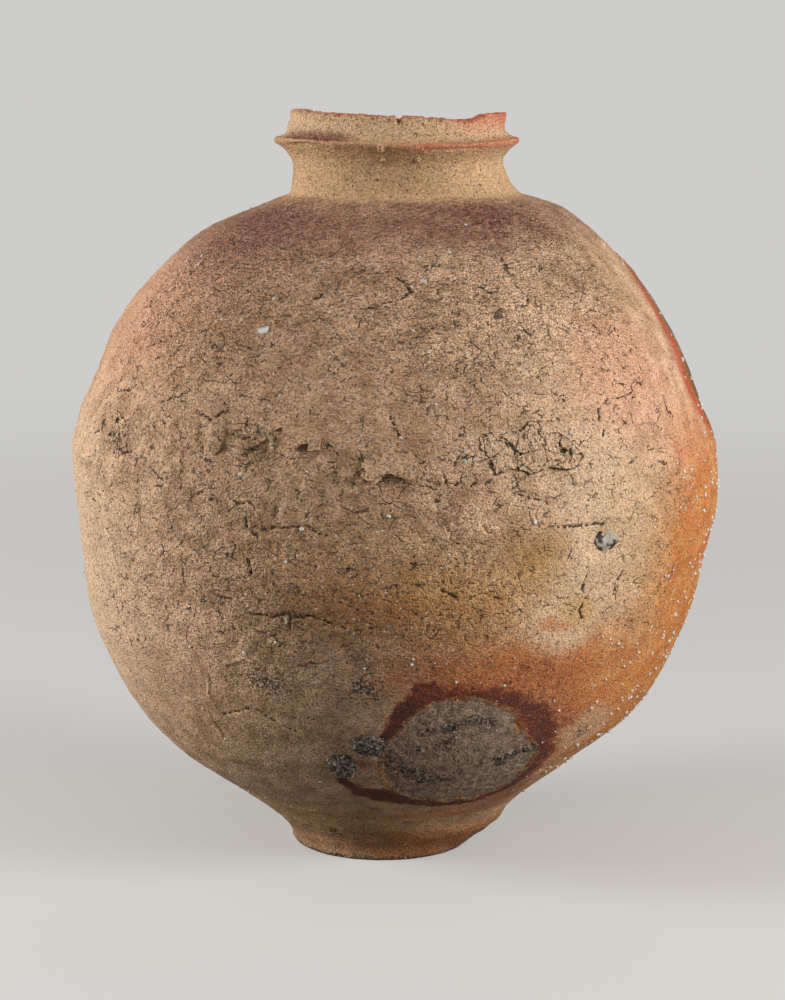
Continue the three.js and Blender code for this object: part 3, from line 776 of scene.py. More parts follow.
class Graph:
    """The nodes of a material or of the world, and short ways to add them."""

    def __init__(self, owner):
        self.owner = owner
        owner.use_nodes = True
        self.tree = owner.node_tree
        self.tree.nodes.clear()
        self.place = self.node("ShaderNodeTexCoord").outputs["Object"]

    def node(self, kind, inputs=None, **settings):
        made = self.tree.nodes.new(kind)
        for key, value in settings.items():
            setattr(made, key, value)
        for key, value in (inputs or {}).items():
            if isinstance(value, bpy.types.NodeSocket):
                self.tree.links.new(value, made.inputs[key])
            else:
                made.inputs[key].default_value = value
        return made

    def mark(self, name):
        """A field of the mesh."""
        return self.node("ShaderNodeAttribute", attribute_name=name).outputs["Fac"]

    def math(self, operation, first, second):
        return self.node("ShaderNodeMath", {0: first, 1: second}, operation=operation).outputs[0]

    def plus(self, first, second):
        return self.math("ADD", first, second)

    def minus(self, first, second):
        return self.math("SUBTRACT", first, second)

    def most(self, first, second):
        return self.math("MAXIMUM", first, second)

    def mix(self, factor, low, high, blend="MIX"):
        made = self.node("ShaderNodeMix", {0: factor, 6: low, 7: high}, data_type="RGBA", blend_type=blend)
        return made.outputs[2]

    def span(self, value, low, high, to_low=0.0, to_high=1.0):
        """A value carried smoothly from one range to another, and held at its ends."""
        settings = {"Value": value, "From Min": low, "From Max": high, "To Min": to_low, "To Max": to_high}
        made = self.node("ShaderNodeMapRange", settings, interpolation_type="SMOOTHSTEP")
        return made.outputs["Result"]

    def times(self, *factors):
        product = factors[0]
        for factor in factors[1:]:
            product = self.math("MULTIPLY", product, factor)
        return product

    def noise(self, size, detail=3.0, place=None):
        inputs = {"Vector": place or self.place, "Scale": 1 / (size * MM), "Detail": detail}
        return self.node("ShaderNodeTexNoise", inputs).outputs["Fac"]

    def pattern(self, size, place=None, feature="F1"):
        inputs = {"Vector": place or self.place, "Scale": 1 / (size * MM)}
        return self.node("ShaderNodeTexVoronoi", inputs, feature=feature).outputs

    def cell(self, size, place=None):
        """Distance from the middles of cells, and three numbers of each cell's own."""
        made = self.pattern(size, place)
        return made["Distance"], self.node("ShaderNodeSeparateColor", {0: made["Color"]}).outputs

    def crumbs(self, size, place):
        """Crumbs of clay: distance from the middle, three numbers of its own, its middle and its tilt."""
        made = self.pattern(size, place)
        own = self.node("ShaderNodeSeparateColor", {0: made["Color"]}).outputs
        lean = self.vector("SUBTRACT", made["Color"], MIDDLE)
        away = self.vector("SUBTRACT", place, made["Position"])
        tilt = self.node("ShaderNodeVectorMath", {0: lean, 1: away}, operation="DOT_PRODUCT")
        tilt = self.math("DIVIDE", tilt.outputs["Value"], size * MM)
        return made["Distance"], own, made["Position"], tilt

    def vector(self, operation, *parts):
        return self.node("ShaderNodeVectorMath", dict(enumerate(parts)), operation=operation).outputs[0]

    def warped(self, size, amount):
        """Places pushed about by noise of a size and an amount, both in millimetres."""
        noise = self.node("ShaderNodeTexNoise", {"Vector": self.place, "Scale": 1 / (size * MM)})
        centred = self.vector("SUBTRACT", noise.outputs["Color"], MIDDLE)
        return self.vector("MULTIPLY_ADD", centred, (amount * MM,) * 3, self.place)

    def stretched(self, scale, place=None):
        return self.node("ShaderNodeMapping", {"Vector": place or self.place, "Scale": scale}).outputs[0]

    def shaded(self, colour, shade):
        grey = self.node("ShaderNodeCombineColor", {0: shade, 1: shade, 2: shade}).outputs[0]
        return self.mix(1.0, colour, grey, "MULTIPLY")

    def crackle(self, size, half_width, place, gate_size, gate_low):
        """Crack lines on the edges of cells, which open and close on their way, and their worn sides."""
        edge = self.pattern(size, place, "DISTANCE_TO_EDGE")["Distance"]
        reach = self.span(self.noise(gate_size, 2.0), gate_low, gate_low + 0.14, -0.15, half_width)
        off = self.minus(self.times(edge, size), reach)
        return self.span(off, 0.08, -0.08), self.span(off, 0.6, 0.0)

    def finish(self, colour, roughness, bump, bump_depth):
        """The material itself: its colour, roughness and fine relief, as deep as given in millimetres."""
        normal = self.node("ShaderNodeBump", {"Height": bump, "Distance": bump_depth * MM, "Strength": 1.0})
        inputs = {"Base Color": colour, "Roughness": roughness, "Normal": normal.outputs["Normal"]}
        shader = self.node("ShaderNodeBsdfPrincipled", inputs)
        self.node("ShaderNodeOutputMaterial", {"Surface": shader.outputs[0]})
        return self.owner


# Colours of the clay and of what the fire left on it, with painted shade in the smoke and umber layers and
# painted light in the pale one, laid on in this order
TAN_DARK = linear(172, 135, 100)
TAN_LIGHT = linear(216, 176, 140)
LAYERS = [
    ("straw", linear(190, 154, 112), 0.85),
    ("pale", linear(214, 182, 148), 0.9),
    ("pink", linear(210, 150, 118), 0.9),
    ("gold", linear(188, 142, 76), 0.9),
    ("smoke_and_shade", linear(118, 84, 46), 0.85),
    ("orange", linear(188, 106, 36), 0.92),
    ("umber_and_shade", linear(108, 60, 22), 0.92),
    ("purple", linear(114, 64, 48), 0.95),
    ("blush", linear(196, 100, 70), 0.9),
    ("flash", linear(178, 70, 38), 0.95),
]
RUST_BROWN = linear(152, 72, 36)
RUST_DARK = linear(78, 25, 15)
SCAR_RING = linear(158, 104, 48)
SCAR_PALE = linear(158, 131, 106)
SCAR_DARK = linear(124, 101, 82)
SOOT_AND_SHADE = linear(40, 36, 34)
# Dark of the cracks, the dashes and dark specks: dirt and painted shade in the cracks, painted shade in the
# dashes
CRACK_DARK = linear(38, 28, 18)
SPECK_RED = linear(186, 96, 60)
SPECK_GREY = linear(132, 136, 130)
FELDSPAR_WHITE = linear(226, 220, 210)
ASH_BROWN = linear(112, 56, 22)
ASH_GREEN = linear(112, 104, 48)
ASH_PALE = linear(168, 164, 122)
ASH_GOLD = linear(150, 88, 26)
ORANGE_GOLD = linear(206, 140, 66)


def clay_material():
    """The wood-fired clay, coloured by the marks on the mesh."""
    g = Graph(bpy.data.materials.new("wood_fired_clay"))
    dry = g.mark("dry")
    sand = g.noise(1.0, 2.0)
    grain = g.noise(2.4, 4.0)
    mottle = g.noise(13, 5.0)
    combed = g.mark("combed")
    drag = g.noise(3.8, 3.0, g.stretched((1, 1, 5), g.warped(12, 5.0)))
    crumb, own, middle, tilt = g.crumbs(1.15, g.warped(1.6, 0.8))

    # The clay's own colour, and what the fire left on it
    colour = g.mix(g.span(mottle, 0.32, 0.68), TAN_DARK, TAN_LIGHT)
    for name, tint, strength in LAYERS:
        share = g.times(g.mark(name), strength)
        # Painted shade and light: the purple is deeper in the grooves of the dragged lines and thinner on
        # their ridges
        if name == "purple":
            share = g.times(share, g.span(drag, 0.36, 0.64, 1.1, 0.85))
        if name == "orange":
            tint = g.mix(g.times(g.span(mottle, 0.4, 0.66), 0.6), tint, ORANGE_GOLD)
        colour = g.mix(share, colour, tint)
    rough_edge = g.plus(g.times(grain, 0.5), g.times(mottle, 0.5))
    rust = g.mark("rust")
    wavy = g.span(rough_edge, 0.38, 0.62, -0.25, 0.25)
    rust = g.plus(rust, g.times(wavy, g.span(rust, 0.0, 0.15)))
    rust_tone = g.mix(g.span(rust, 0.35, 1.1), RUST_BROWN, RUST_DARK)
    colour = g.mix(g.times(g.span(rust, 0.02, 0.75), 0.95), colour, rust_tone)
    scar = g.mark("scar")
    wavy = g.span(rough_edge, 0.38, 0.62, -0.4, 0.4)
    scar = g.plus(scar, g.times(wavy, g.span(scar, 0.0, 0.15)))
    colour = g.mix(g.times(g.span(scar, 0.05, 0.36), 0.8), colour, SCAR_RING)
    scar_tone = g.mix(g.span(g.noise(5, 5.0), 0.38, 0.64), SCAR_PALE, SCAR_DARK)
    colour = g.mix(g.span(scar, 0.4, 0.66), colour, scar_tone)
    # Soot, and painted shade along the foot's bottom edge
    soot_and_shade = g.plus(g.mark("soot_and_shade"), g.span(g.noise(1.5, 3.0), 0.35, 0.65, -0.6, 0.4))
    colour = g.mix(g.times(g.span(soot_and_shade, 0.3, 0.6), 0.88), colour, SOOT_AND_SHADE)

    # Sand, the lines that the hand dragged, and specks; the tone of the sand and of the lines partly paints
    # the light and shade of their relief, and the dark dashes are painted shade in the grooves
    lines = g.times(g.span(drag, 0.36, 0.64, -0.24, 0.22), g.span(combed, 0.0, 1.0, 0.25, 1.0))
    sandy = g.times(g.span(sand, 0.34, 0.66, -0.4, 0.4), g.span(combed, 0.4, 1.0, 0.75, 1.5))
    shade = g.plus(g.span(own[0], 0.0, 1.0, 0.9, 1.1), sandy)
    shade = g.plus(shade, g.span(grain, 0.3, 0.7, -0.07, 0.07))
    colour = g.shaded(colour, g.plus(shade, lines))
    dash = g.times(g.span(drag, 0.37, 0.3), g.span(combed, 0.0, 1.0, 0.0, 0.75))
    colour = g.mix(dash, colour, CRACK_DARK)
    colour = g.mix(g.times(g.span(own[1], 0.04, 0.03), 0.55), colour, CRACK_DARK)
    colour = g.mix(g.times(g.span(own[1], 0.95, 0.96), dry, 0.3), colour, SPECK_RED)
    colour = g.mix(g.times(g.span(own[2], 0.97, 0.98), 0.35), colour, SPECK_GREY)
    colour = g.mix(g.times(g.span(own[2], 0.025, 0.015), dry, 0.55), colour, FELDSPAR_WHITE)

    # Fine cracks that go round the crumbs, pores, the open cracks and white flecks
    crumbly = g.vector("SUBTRACT", middle, g.place)
    followed = g.vector("MULTIPLY_ADD", crumbly, (0.35,) * 3, g.warped(7, 4.0))
    level = g.stretched((1, 1, 1.8), followed)
    crowd = g.mark("cracked")
    short_line, short_side = g.crackle(4.2, 0.25, followed, 3, 0.51)
    short_line = g.times(short_line, g.span(crowd, 0.2, 0.8))
    short_side = g.times(short_side, g.span(crowd, 0.2, 0.8))
    line, side = g.crackle(10, 0.33, level, 5.5, 0.51)
    long_line, long_side = g.crackle(24, 0.42, level, 10, 0.5)
    cracked = g.span(dry, 0.08, 0.6)
    hairline = g.most(short_line, g.times(g.most(line, long_line), cracked))
    hairline = g.times(hairline, g.span(g.noise(9, 2.0), 0.38, 0.6, 0.75, 1.0))
    worn = g.most(short_side, g.times(g.most(side, long_side), cracked))
    spots, spot_own = g.cell(2.4, followed)
    pore = g.times(g.span(spots, 0.26, 0.16), g.span(spot_own[0], 0.84, 0.86))
    ragged = g.plus(g.mark("gap"), g.span(grain, 0.36, 0.64, -0.45, 0.45))
    opened = g.span(g.plus(ragged, g.span(own[0], 0.0, 1.0, -0.2, 0.2)), 0.24, -0.02)
    broken = g.most(g.most(opened, hairline), pore)
    # Cracks, pores and pits are darkened with dirt and painted shade
    colour = g.mix(g.times(broken, 0.9, g.span(g.mark("ash"), 0.7, 0.3)), colour, CRACK_DARK)
    flecks, fleck_own = g.cell(3.2)
    fleck = g.times(g.span(flecks, 0.2, 0.12), g.span(fleck_own[0], 0.9, 0.91))
    colour = g.mix(g.times(fleck, 0.85), colour, FELDSPAR_WHITE)

    # Melted ash
    ash = g.mark("ash")
    pool = g.noise(9, 4.0, g.stretched((1, 1, 0.28)))
    glass = g.mix(g.span(pool, 0.36, 0.52), ASH_BROWN, ASH_GREEN)
    glass = g.mix(g.span(pool, 0.58, 0.74), glass, ASH_PALE)
    glass = g.mix(g.times(g.mark("flash"), 0.85), glass, ASH_GOLD)
    colour = g.mix(g.span(ash, 0.45, 0.75), colour, glass)

    # Roughness, and relief too fine for the mesh
    rough = g.span(ash, 0.4, 0.8, 0.88, 0.2)
    sandy = g.times(sand, g.span(combed, 0.4, 1.0, 0.75, 1.4))
    height = g.plus(g.times(drag, g.span(combed, 0.0, 1.0, 0.5, 1.6)), sandy)
    height = g.minus(height, g.times(crumb, g.span(dry, 0.0, 0.8, 0.15, 0.3)))
    height = g.plus(height, g.times(tilt, g.span(dry, 0.0, 0.8, 0.3, 0.6)))
    height = g.minus(height, g.times(worn, 0.25))
    height = g.minus(height, g.times(broken, 0.8))
    height = g.plus(height, g.times(fleck, 0.4))
    height = g.times(height, g.span(ash, 0.3, 0.8, 1.0, 0.12))
    return g.finish(colour, rough, height, 0.85)


def stone_material(name, pale, dark, share, roughness, patch=2.6, speck=None):
    """A broken stone: two tones in patches and grains, with specks if it has them."""
    g = Graph(bpy.data.materials.new(name))
    patches = g.noise(patch, 4.0)
    grain = g.noise(0.7, 3.0)
    colour = g.mix(g.span(patches, share - 0.06, share + 0.06), pale, dark)
    colour = g.shaded(colour, g.span(grain, 0.25, 0.75, 0.65, 1.2))
    if speck:
        _, own = g.cell(0.9)
        colour = g.mix(g.times(g.span(own[0], 0.9, 0.92), 0.6), colour, speck)
    return g.finish(colour, roughness, g.plus(patches, grain), 0.5)


clay = clay_material()
feldspar = stone_material("feldspar", linear(214, 210, 202), linear(178, 170, 157), 0.58, 0.5)
burst = stone_material("burst_stone_face", linear(184, 174, 158), linear(58, 48, 38), 0.5, 0.8, 6.0)
slag = stone_material("kiln_slag", linear(70, 60, 51), linear(118, 104, 90), 0.54, 0.95,
                      speck=linear(190, 178, 164))


# Meshes

def linked(name, data):
    """An object of a mesh, a lamp or a camera, put in the scene."""
    made = bpy.data.objects.new(name, data)
    bpy.context.scene.collection.objects.link(made)
    return made


def add_object(name, points, faces, material, fields=None, uv=None, normals=None, sharp=None):
    """A mesh object from points in millimetres; fields are values at its points."""
    mesh = bpy.data.meshes.new(name)
    points = np.asarray(points, np.float32).reshape(-1, 3) * MM
    sizes = [len(f) for f in faces] if isinstance(faces, list) else np.full(len(faces), faces.shape[1])
    corners = np.concatenate([np.ravel(f) for f in faces]) if isinstance(faces, list) else faces.ravel()
    mesh.vertices.add(len(points))
    mesh.vertices.foreach_set("co", points.ravel())
    mesh.loops.add(len(corners))
    mesh.loops.foreach_set("vertex_index", corners.astype(np.int32))
    mesh.polygons.add(len(sizes))
    starts = np.r_[0, np.cumsum(sizes)[:-1]]
    mesh.polygons.foreach_set("loop_start", starts.astype(np.int32))
    mesh.polygons.foreach_set("use_smooth", np.ones(len(sizes), bool))
    for field_name, values in (fields or {}).items():
        layer = mesh.attributes.new(field_name, "FLOAT", "POINT")
        layer.data.foreach_set("value", np.asarray(values, np.float32).ravel())
    if uv is not None:
        mesh.uv_layers.new(name="OFBake").data.foreach_set("uv", np.asarray(uv, np.float32).ravel())
    mesh.update(calc_edges=True)
    mesh.validate()
    if normals is not None:
        mesh.normals_split_custom_set_from_vertices(np.asarray(normals, np.float32).reshape(-1, 3))
    if sharp is not None:
        mesh.set_sharp_from_angle(angle=math.radians(sharp))
    mesh.materials.append(material)
    return linked(name, mesh)


def placed(piece, node):
    """A piece on the jar's one body, standing for a node whose part it hides."""
    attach(piece, "root")
    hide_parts(node)
    return piece


def loop_faces(count, columns, closed):
    """Quads of a grid whose columns close, and whose rows close too if asked."""
    index = np.arange(count * columns).reshape(count, columns)
    right = np.roll(index, -1, axis=1)
    low, high = (index, np.roll(index, -1, axis=0)) if closed else (index[:-1], index[1:])
    low_right, high_right = (right, np.roll(right, -1, axis=0)) if closed else (right[:-1], right[1:])
    return np.stack([low, low_right, high_right, high], axis=-1).reshape(-1, 4)


def loop_uv(levels, columns):
    """Corners of the same quads on the unit square; levels has one more entry than rows of quads."""
    u = np.arange(columns + 1) / columns
    low, high = levels[:-1, None], levels[1:, None]
    left, right = u[None, :-1], u[None, 1:]
    corners = [(left, low), (right, low), (right, high), (left, high)]
    shape = (len(levels) - 1, columns)
    return np.stack([np.stack(np.broadcast_arrays(a, b), axis=-1) + np.zeros((*shape, 2))
                     for a, b in corners], axis=2)


def course_piece(name, top, foot):
    """One course of clay as a closed ring: the detailed outside, and the plain inside behind it."""
    first, last = spans[name]
    outer, outer_normals = surface[first:last + 1], surface_normals[first:last + 1]
    grids, normals = [outer], [outer_normals]
    if top is not None:
        inner_travel = lengths(inside)
        fall = JOINT_FALL if foot > BASE_THICKNESS else 0
        low = np.interp(foot - fall, inside[:, 1], inner_travel)
        high = np.interp(top - JOINT_FALL, inside[:, 1], inner_travel)
        points, away = spun(between(inside, low, high, INNER_STEP)[::-1], turns)
        points += (0.5 * cloud(points, 18, 33, 2))[..., None] * away
        grids.append(points)
        normals.append(grid_normals(points))
    grid, normals = np.vstack(grids), np.vstack(normals)
    fields = {key: np.vstack([values[first:last + 1], np.zeros((len(grid) - len(outer), COLUMNS))])
              for key, values in marks.items()}
    # The plain inside is darkened evenly
    fields["smoke_and_shade"][len(outer):] = 0.6
    fields["gap"][len(outer):] = GAP_REACH
    levels = np.r_[np.linspace(0, 0.8, len(outer)), np.linspace(0.82, 1, len(grid) - len(outer) + 1)]
    piece = add_object(name + "_clay", grid, loop_faces(len(grid), COLUMNS, True), clay, fields,
                       loop_uv(levels, COLUMNS), normals)
    return placed(piece, name)


def base_piece(name):
    """The base disc: its worn edge, and flat faces under and over it."""
    first, last = spans[name]
    grid = surface[first:last + 1]
    sides = loop_faces(len(grid), COLUMNS, False)
    under = np.arange(COLUMNS)[::-1]
    over = np.arange(COLUMNS) + (len(grid) - 1) * COLUMNS
    side_uv = loop_uv(np.linspace(0, 0.5, len(grid)), COLUMNS).reshape(-1, 2)
    ring = np.stack([np.cos(turns), np.sin(turns)], axis=1) * 0.24
    uv = np.vstack([side_uv, ring[::-1] + (0.25, 0.75), ring + (0.75, 0.75)])
    fields = {key: values[first:last + 1] for key, values in marks.items()}
    piece = add_object(name + "_clay", grid, [*sides, under, over], clay, fields, uv,
                       surface_normals[first:last + 1])
    return placed(piece, name)


foot = 0
for name, (slot, top) in COURSES.items():
    if name == "base_disc":
        base_piece(name)
    else:
        course_piece(name, top, foot)
    foot = top

# Torn clay over the main join: turn, rise of its middle over the join, size of the crumbs it broke into,
# or 0 where it is whole, its corners across and up from its middle, and places in it with their lift off
# the wall
PATCHES = {
    "join_patch_right": (23, 20, 9, [
        (-30, 9), (-30, 1), (-26, -3), (-22, -14), (-13, -11), (-4, -13), (-2, -15), (5, -13),
        (10, -11), (24, -14), (33, -7), (25, 2), (19, 8), (10, 7), (7, 14), (2, 15), (-5, 10), (-15, 9),
        (-23, 10),
    ], [
        (-27, 4, 0.8), (-22, -12, 0.5), (2, 13, 1.6), (0, -12, 1.2), (23, -13, 3), (32, -7, 4),
        (18, 7, 1.6),
    ]),
    "join_patch_front": (-0.7, 12, 0, [
        (-18, 2), (-14, -1), (-16, -5), (-12, -8), (-10, -7), (-8, -10), (-5, -6), (0, -3), (2, -5),
        (13, -8), (14, -1), (15, 5), (11, 9), (3, 10), (-6, 8), (-13, 7),
    ], [
        (-17, 3, 0.3), (-6, 8, -0.6), (4, 10, -0.6), (14, 7, 0), (-16, -5, 6), (-8, -10, 5.4),
        (0, -3, 3.6), (3, -5, 6.6), (13, -8, 7.5), (14, -1, 3.6),
    ]),
    "join_patch_left": (-15.3, 26, 0, [
        (-20, 3), (-12, 6), (-12, 3), (-10, -2), (-8, -6), (-4, -6), (0, -3), (4, -3), (4, -7),
        (10, -6), (10, 0), (12, 5), (6, 9), (-4, 10), (-11, 9),
    ], [
        (-19, 3, 2.1), (-11, 8, 0.6), (-4, 10, -0.6), (8, 8, -0.6), (12, 4, -0.6), (-12, 3, 4.5),
        (-8, -6, 6), (0, -3, 3.6), (4, -7, 4.5), (10, -6, 3.3),
    ]),
    "join_patch_far_left": (-31.8, 25, 0, [
        (1, 11), (-7, 3), (-9, 0), (-6, -8), (2, -11), (5, -8), (6, -1), (12, 3), (7, 8),
    ], [
        (1, 11, 0.6), (-9, 0, 0.2), (-6, -8, 0.2), (2, -11, 0.9), (1, 6, 5), (2, 2, 8), (3, -4, 6.5),
        (6, -2, -0.6), (8, 2, -0.6), (12, 3, -0.6), (7, 8, -0.6),
    ]),
    "join_patch_side": (-56, 18, 3.6, [
        (-13, 10), (-8, 14), (1, 10), (8, 8), (11, 0), (12, -9), (10, -15), (2, -13), (-6, -6),
    ], [
        (-12, 9, 0), (0, 9, 0.8), (9, 4, 0.1), (11, -8, 0.1), (8, -14, 0), (-4, -6, 0.6), (3, -2, 0.8),
    ]),
}
PATCH_STEP = 0.4
PATCH_THICKNESS = 2.6
PATCH_SHARP = 40
WHOLE_CRUMB = 9


def patch_piece(name, seed, turn, rise, crumb, corners, lifts):
    """A torn scrap of clay: a thin plate with a ragged edge, standing off the wall by its lifts."""
    cracked = 1.0 if crumb else 0.0
    spacing = crumb or WHOLE_CRUMB
    low_a, low_b = np.min(corners, axis=0) - 2
    high_a, high_b = np.max(corners, axis=0) + 2
    a, b = np.meshgrid(np.arange(low_a, high_a, PATCH_STEP), np.arange(low_b, high_b, PATCH_STEP))
    flat = np.stack([a, b, np.full_like(a, 37.0 * seed)], axis=-1).astype(np.float32)
    depth = inside_of(corners, a, b) + 0.8 * cloud(flat, 3, seed, 2)
    index = np.arange(a.size).reshape(a.shape)
    square = [index[:-1, :-1], index[:-1, 1:], index[1:, 1:], index[1:, :-1]]
    quads = np.stack(square, axis=-1).reshape(-1, 4)
    quads = quads[depth.ravel()[quads].mean(axis=1) > 0]
    used, quads = np.unique(quads, return_inverse=True)
    quads = quads.reshape(-1, 4)
    ways = np.stack([quads, np.roll(quads, -1, axis=1)], axis=-1).reshape(-1, 2).tolist()
    known = {tuple(way) for way in ways}
    rim = np.array([way for way in ways if (way[1], way[0]) not in known])

    # Points of the rim move onto the outline
    steep_b, steep_a = np.gradient(depth, PATCH_STEP)
    move = depth / (steep_a**2 + steep_b**2 + 0.05)
    a, b, depth, flat = a.ravel()[used], b.ravel()[used], depth.ravel()[used], flat.reshape(-1, 3)[used]
    at_rim = np.unique(rim)
    for place, steep in ((a, steep_a), (b, steep_b)):
        shift = (move * steep).ravel()[used[at_rim]]
        place[at_rim] -= np.clip(shift, -PATCH_STEP, PATCH_STEP)

    near = [1 / ((a - x) ** 2 + (b - y) ** 2 + 1) for x, y, _ in lifts]
    level = sum(w * lift for w, (_, _, lift) in zip(near, lifts)) / sum(near)
    wobble = flat + 2.4 * np.stack([cloud(flat, 5, seed + k, 2) for k in (2, 3, 4)], axis=-1)
    nearest, second, own, lean = cells(wobble, spacing, seed + 5)
    split = (second - nearest) * spacing + 1.4 * ramp(cloud(flat, 7, seed + 9, 2), 0.25, -0.15)
    level += cracked * (1.2 * (own - 0.5) + 0.18 * crumb * lean - 1.2 * np.exp(-((split / 0.6) ** 2)))
    level += (0.25 + 0.3 * cracked) * cloud(flat / np.array([1.4, 4, 1]), 1, seed + 8, 2)

    middle = travel_at(BELLY_HEIGHT + rise)
    around = turn + np.degrees(a / BELLY_RADIUS)
    wall, out = sampled(surface, around, middle + b), sampled(NORMALS, around, middle + b)
    count = len(a)
    walls = np.stack([rim[:, 0] + count, rim[:, 1] + count, rim[:, 1], rim[:, 0]], axis=-1)
    faces = np.vstack([quads, quads[:, ::-1] + count, walls])
    points = np.vstack([wall + level[:, None] * out, wall + (level - PATCH_THICKNESS)[:, None] * out])
    fields = {key: np.tile(sampled(values, around, middle + b), 2) for key, values in marks.items()}
    fields["pale"] = np.maximum(fields["pale"], 0.3 + 0.3 * cracked)
    fields["dry"] = (0.4 + 0.6 * cracked) * fields["dry"]
    fields["cracked"] = np.maximum(fields["cracked"], cracked)
    # Edges and splits of a crumbled patch darken as open cracks do, with dirt and painted shade
    edge = depth - 0.35 + (3 if crumb < 6 else 0)
    own_gap = np.minimum(edge, split - 0.3) + 3 * (1 - cracked)
    if crumb:
        own_gap = np.minimum(own_gap, sampled(marks["gap"], around, middle + b))
    fields["gap"] = np.tile(np.minimum(own_gap, GAP_REACH), 2)
    spot = np.stack([(a - low_a) / (high_a - low_a), (b - low_b) / (high_b - low_b)], axis=-1)
    uv = np.vstack([0.46 * spot + 0.02, 0.46 * spot + (0.52, 0.02)])[faces.ravel()]
    uv[-4 * len(walls):] = 0.05 * uv[-4 * len(walls):] + 0.9
    piece = add_object(name + "_clay", points, faces, clay, fields, uv, sharp=PATCH_SHARP)
    return placed(piece, name)


for seed, (name, sizes) in enumerate(PATCHES.items(), start=200):
    patch_piece(name, seed, *sizes)

# Stones and slag: turn, height, half sizes across, up and out, depth sunk, roughness, slot and material
LUMPS = {
    "burst_stone": (38.8, 211, (8.2, 6.2, 5.6), 1.8, 0.1, "feldspar", burst),
    "white_stone": (-27, 328, (3.6, 2.3, 2.8), 0.8, 0.15, "feldspar", feldspar),
    "slag_lump_left": (-10.7, 80, (8.6, 9.4, 5), 0, 0.22, "slag", slag),
    "slag_lump_right": (-4.5, 95, (10, 8.4, 4.4), 0, 0.22, "slag", slag),
}
LUMP_SHARP = 25


def ball(subdivisions):
    """Points and faces of a round ball of radius 1."""
    mesh = bmesh.new()
    bmesh.ops.create_icosphere(mesh, subdivisions=subdivisions, radius=1)
    points = np.array([v.co for v in mesh.verts], np.float32)
    faces = np.array([[v.index for v in f.verts] for f in mesh.faces])
    mesh.free()
    return points, faces


def wall_axes(turn, at):
    """A place on the finished wall: its point and the directions across, up and out."""
    point, out = sampled(surface, turn, at), sampled(NORMALS, turn, at)
    out = out / np.linalg.norm(out, axis=-1, keepdims=True)
    angle = np.radians(turn)
    across = np.stack([np.cos(angle), np.sin(angle), 0 * angle], axis=-1)
    return point, across, np.cross(out, across), out


def broken_faces(directions, seed, count=13):
    """How far a stone with flat broken faces reaches in each direction."""
    choice = np.random.default_rng(seed)
    faces = choice.normal(size=(count, 3))
    faces /= np.linalg.norm(faces, axis=1, keepdims=True)
    toward = np.maximum(directions @ faces.T, 0.05)
    return np.minimum((choice.uniform(0.65, 0.95, count) / toward).min(axis=1), 1.2)


def lump_piece(name, seed, turn, at_height, half, sink, rough, slot, material):
    """A stone with broken faces, or a crumbly lump of slag, sunk into the wall."""
    points, faces = ball(5)
    own = points * max(half) + 50.0 * seed
    size = 1 + rough * cloud(own, 5, seed, 2) + 0.5 * rough * cloud(own, 1.6, seed + 1, 2)
    if slot == "slag":
        size += 0.9 * rough * (cells(own, 2.4, seed + 2)[2] - 0.5)
    else:
        size *= broken_faces(points, seed + 7)
    local = points * size[:, None] * np.array(half)
    point, across, up, out = wall_axes(np.array(float(turn)), travel_at(at_height))
    placed_points = point + local @ np.stack([across, up, out]) - sink * out
    piece = add_object(name + "_lump", placed_points, faces, material, sharp=LUMP_SHARP)
    return placed(piece, name)


for seed, (name, sizes) in enumerate(LUMPS.items(), start=300):
    lump_piece(name, seed, *sizes)

# Feldspar grains that stand out of the wall: how many, the range of their half sizes, how much rarer the
# large ones are, and how lumpy they are and how far sunk, as shares of their size
GRAINS = 2400
GRAIN_SIZE = (0.3, 1.5)
GRAIN_RARITY = 2.1
GRAIN_LUMPS = 0.22
GRAIN_SINK = 0.25
GRAIN_SEED = 20


def grain_piece():
    """White grains, most of them where the clay flashed orange, with a few everywhere."""
    rng = np.random.default_rng(GRAIN_SEED)
    weight = 0.07 + 1.0 * marks["orange"] * ramp(np.abs(TURN), 20, 50) + 0.5 * marks["ash"]
    weight *= ramp(HEIGHT, 20, 60) * ramp(HEIGHT, SHOULDER_HEIGHT, 380) * radius[:, None]
    weight *= np.gradient(turns)[None, :] * (1 - 0.8 * marks["rust"]) * (1 - 0.6 * marks["scar"])
    chance = (weight / weight.sum()).ravel()
    picks = rng.choice(chance.size, GRAINS, replace=False, p=chance)
    shape, faces = ball(2)
    all_points, all_faces = [], []
    low, high = GRAIN_SIZE
    for number, pick in enumerate(picks):
        row, column = divmod(int(pick), COLUMNS)
        size = low + (high - low) * rng.random() ** GRAIN_RARITY
        stretch = size * rng.uniform(0.75, 1.25, 3)
        lumpy = 1 + GRAIN_LUMPS * cloud(shape + 7.0 * number, 0.9, 5, 1)
        basis = np.linalg.qr(rng.normal(size=(3, 3)))[0]
        local = (shape * lumpy[:, None] * stretch) @ basis
        all_points.append(local + surface[row, column] - GRAIN_SINK * size * surface_normals[row, column])
        all_faces.append(faces + number * len(shape))
    piece = add_object("feldspar_grains", np.vstack(all_points), np.vstack(all_faces), feldspar)
    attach(piece, "root")
    return piece


grain_piece()


# Stage: a pale floor, soft light from both sides and the camera

# Half of the floor's side in millimetres, and the tones of the floor, the backdrop and the sky
FLOOR_HALF = 12000
FLOOR_TONE = linear(222, 219, 214)
FLOOR_BOUNCE = linear(120, 118, 114)
BACKDROP = linear(206, 205, 203)
SKY_TONE = linear(226, 226, 228)
SKY_STRENGTH = 0.3

# Distances from the jar, in metres, over which the floor fades into the backdrop
FADE_START = 0.2
FADE_END = 2.6

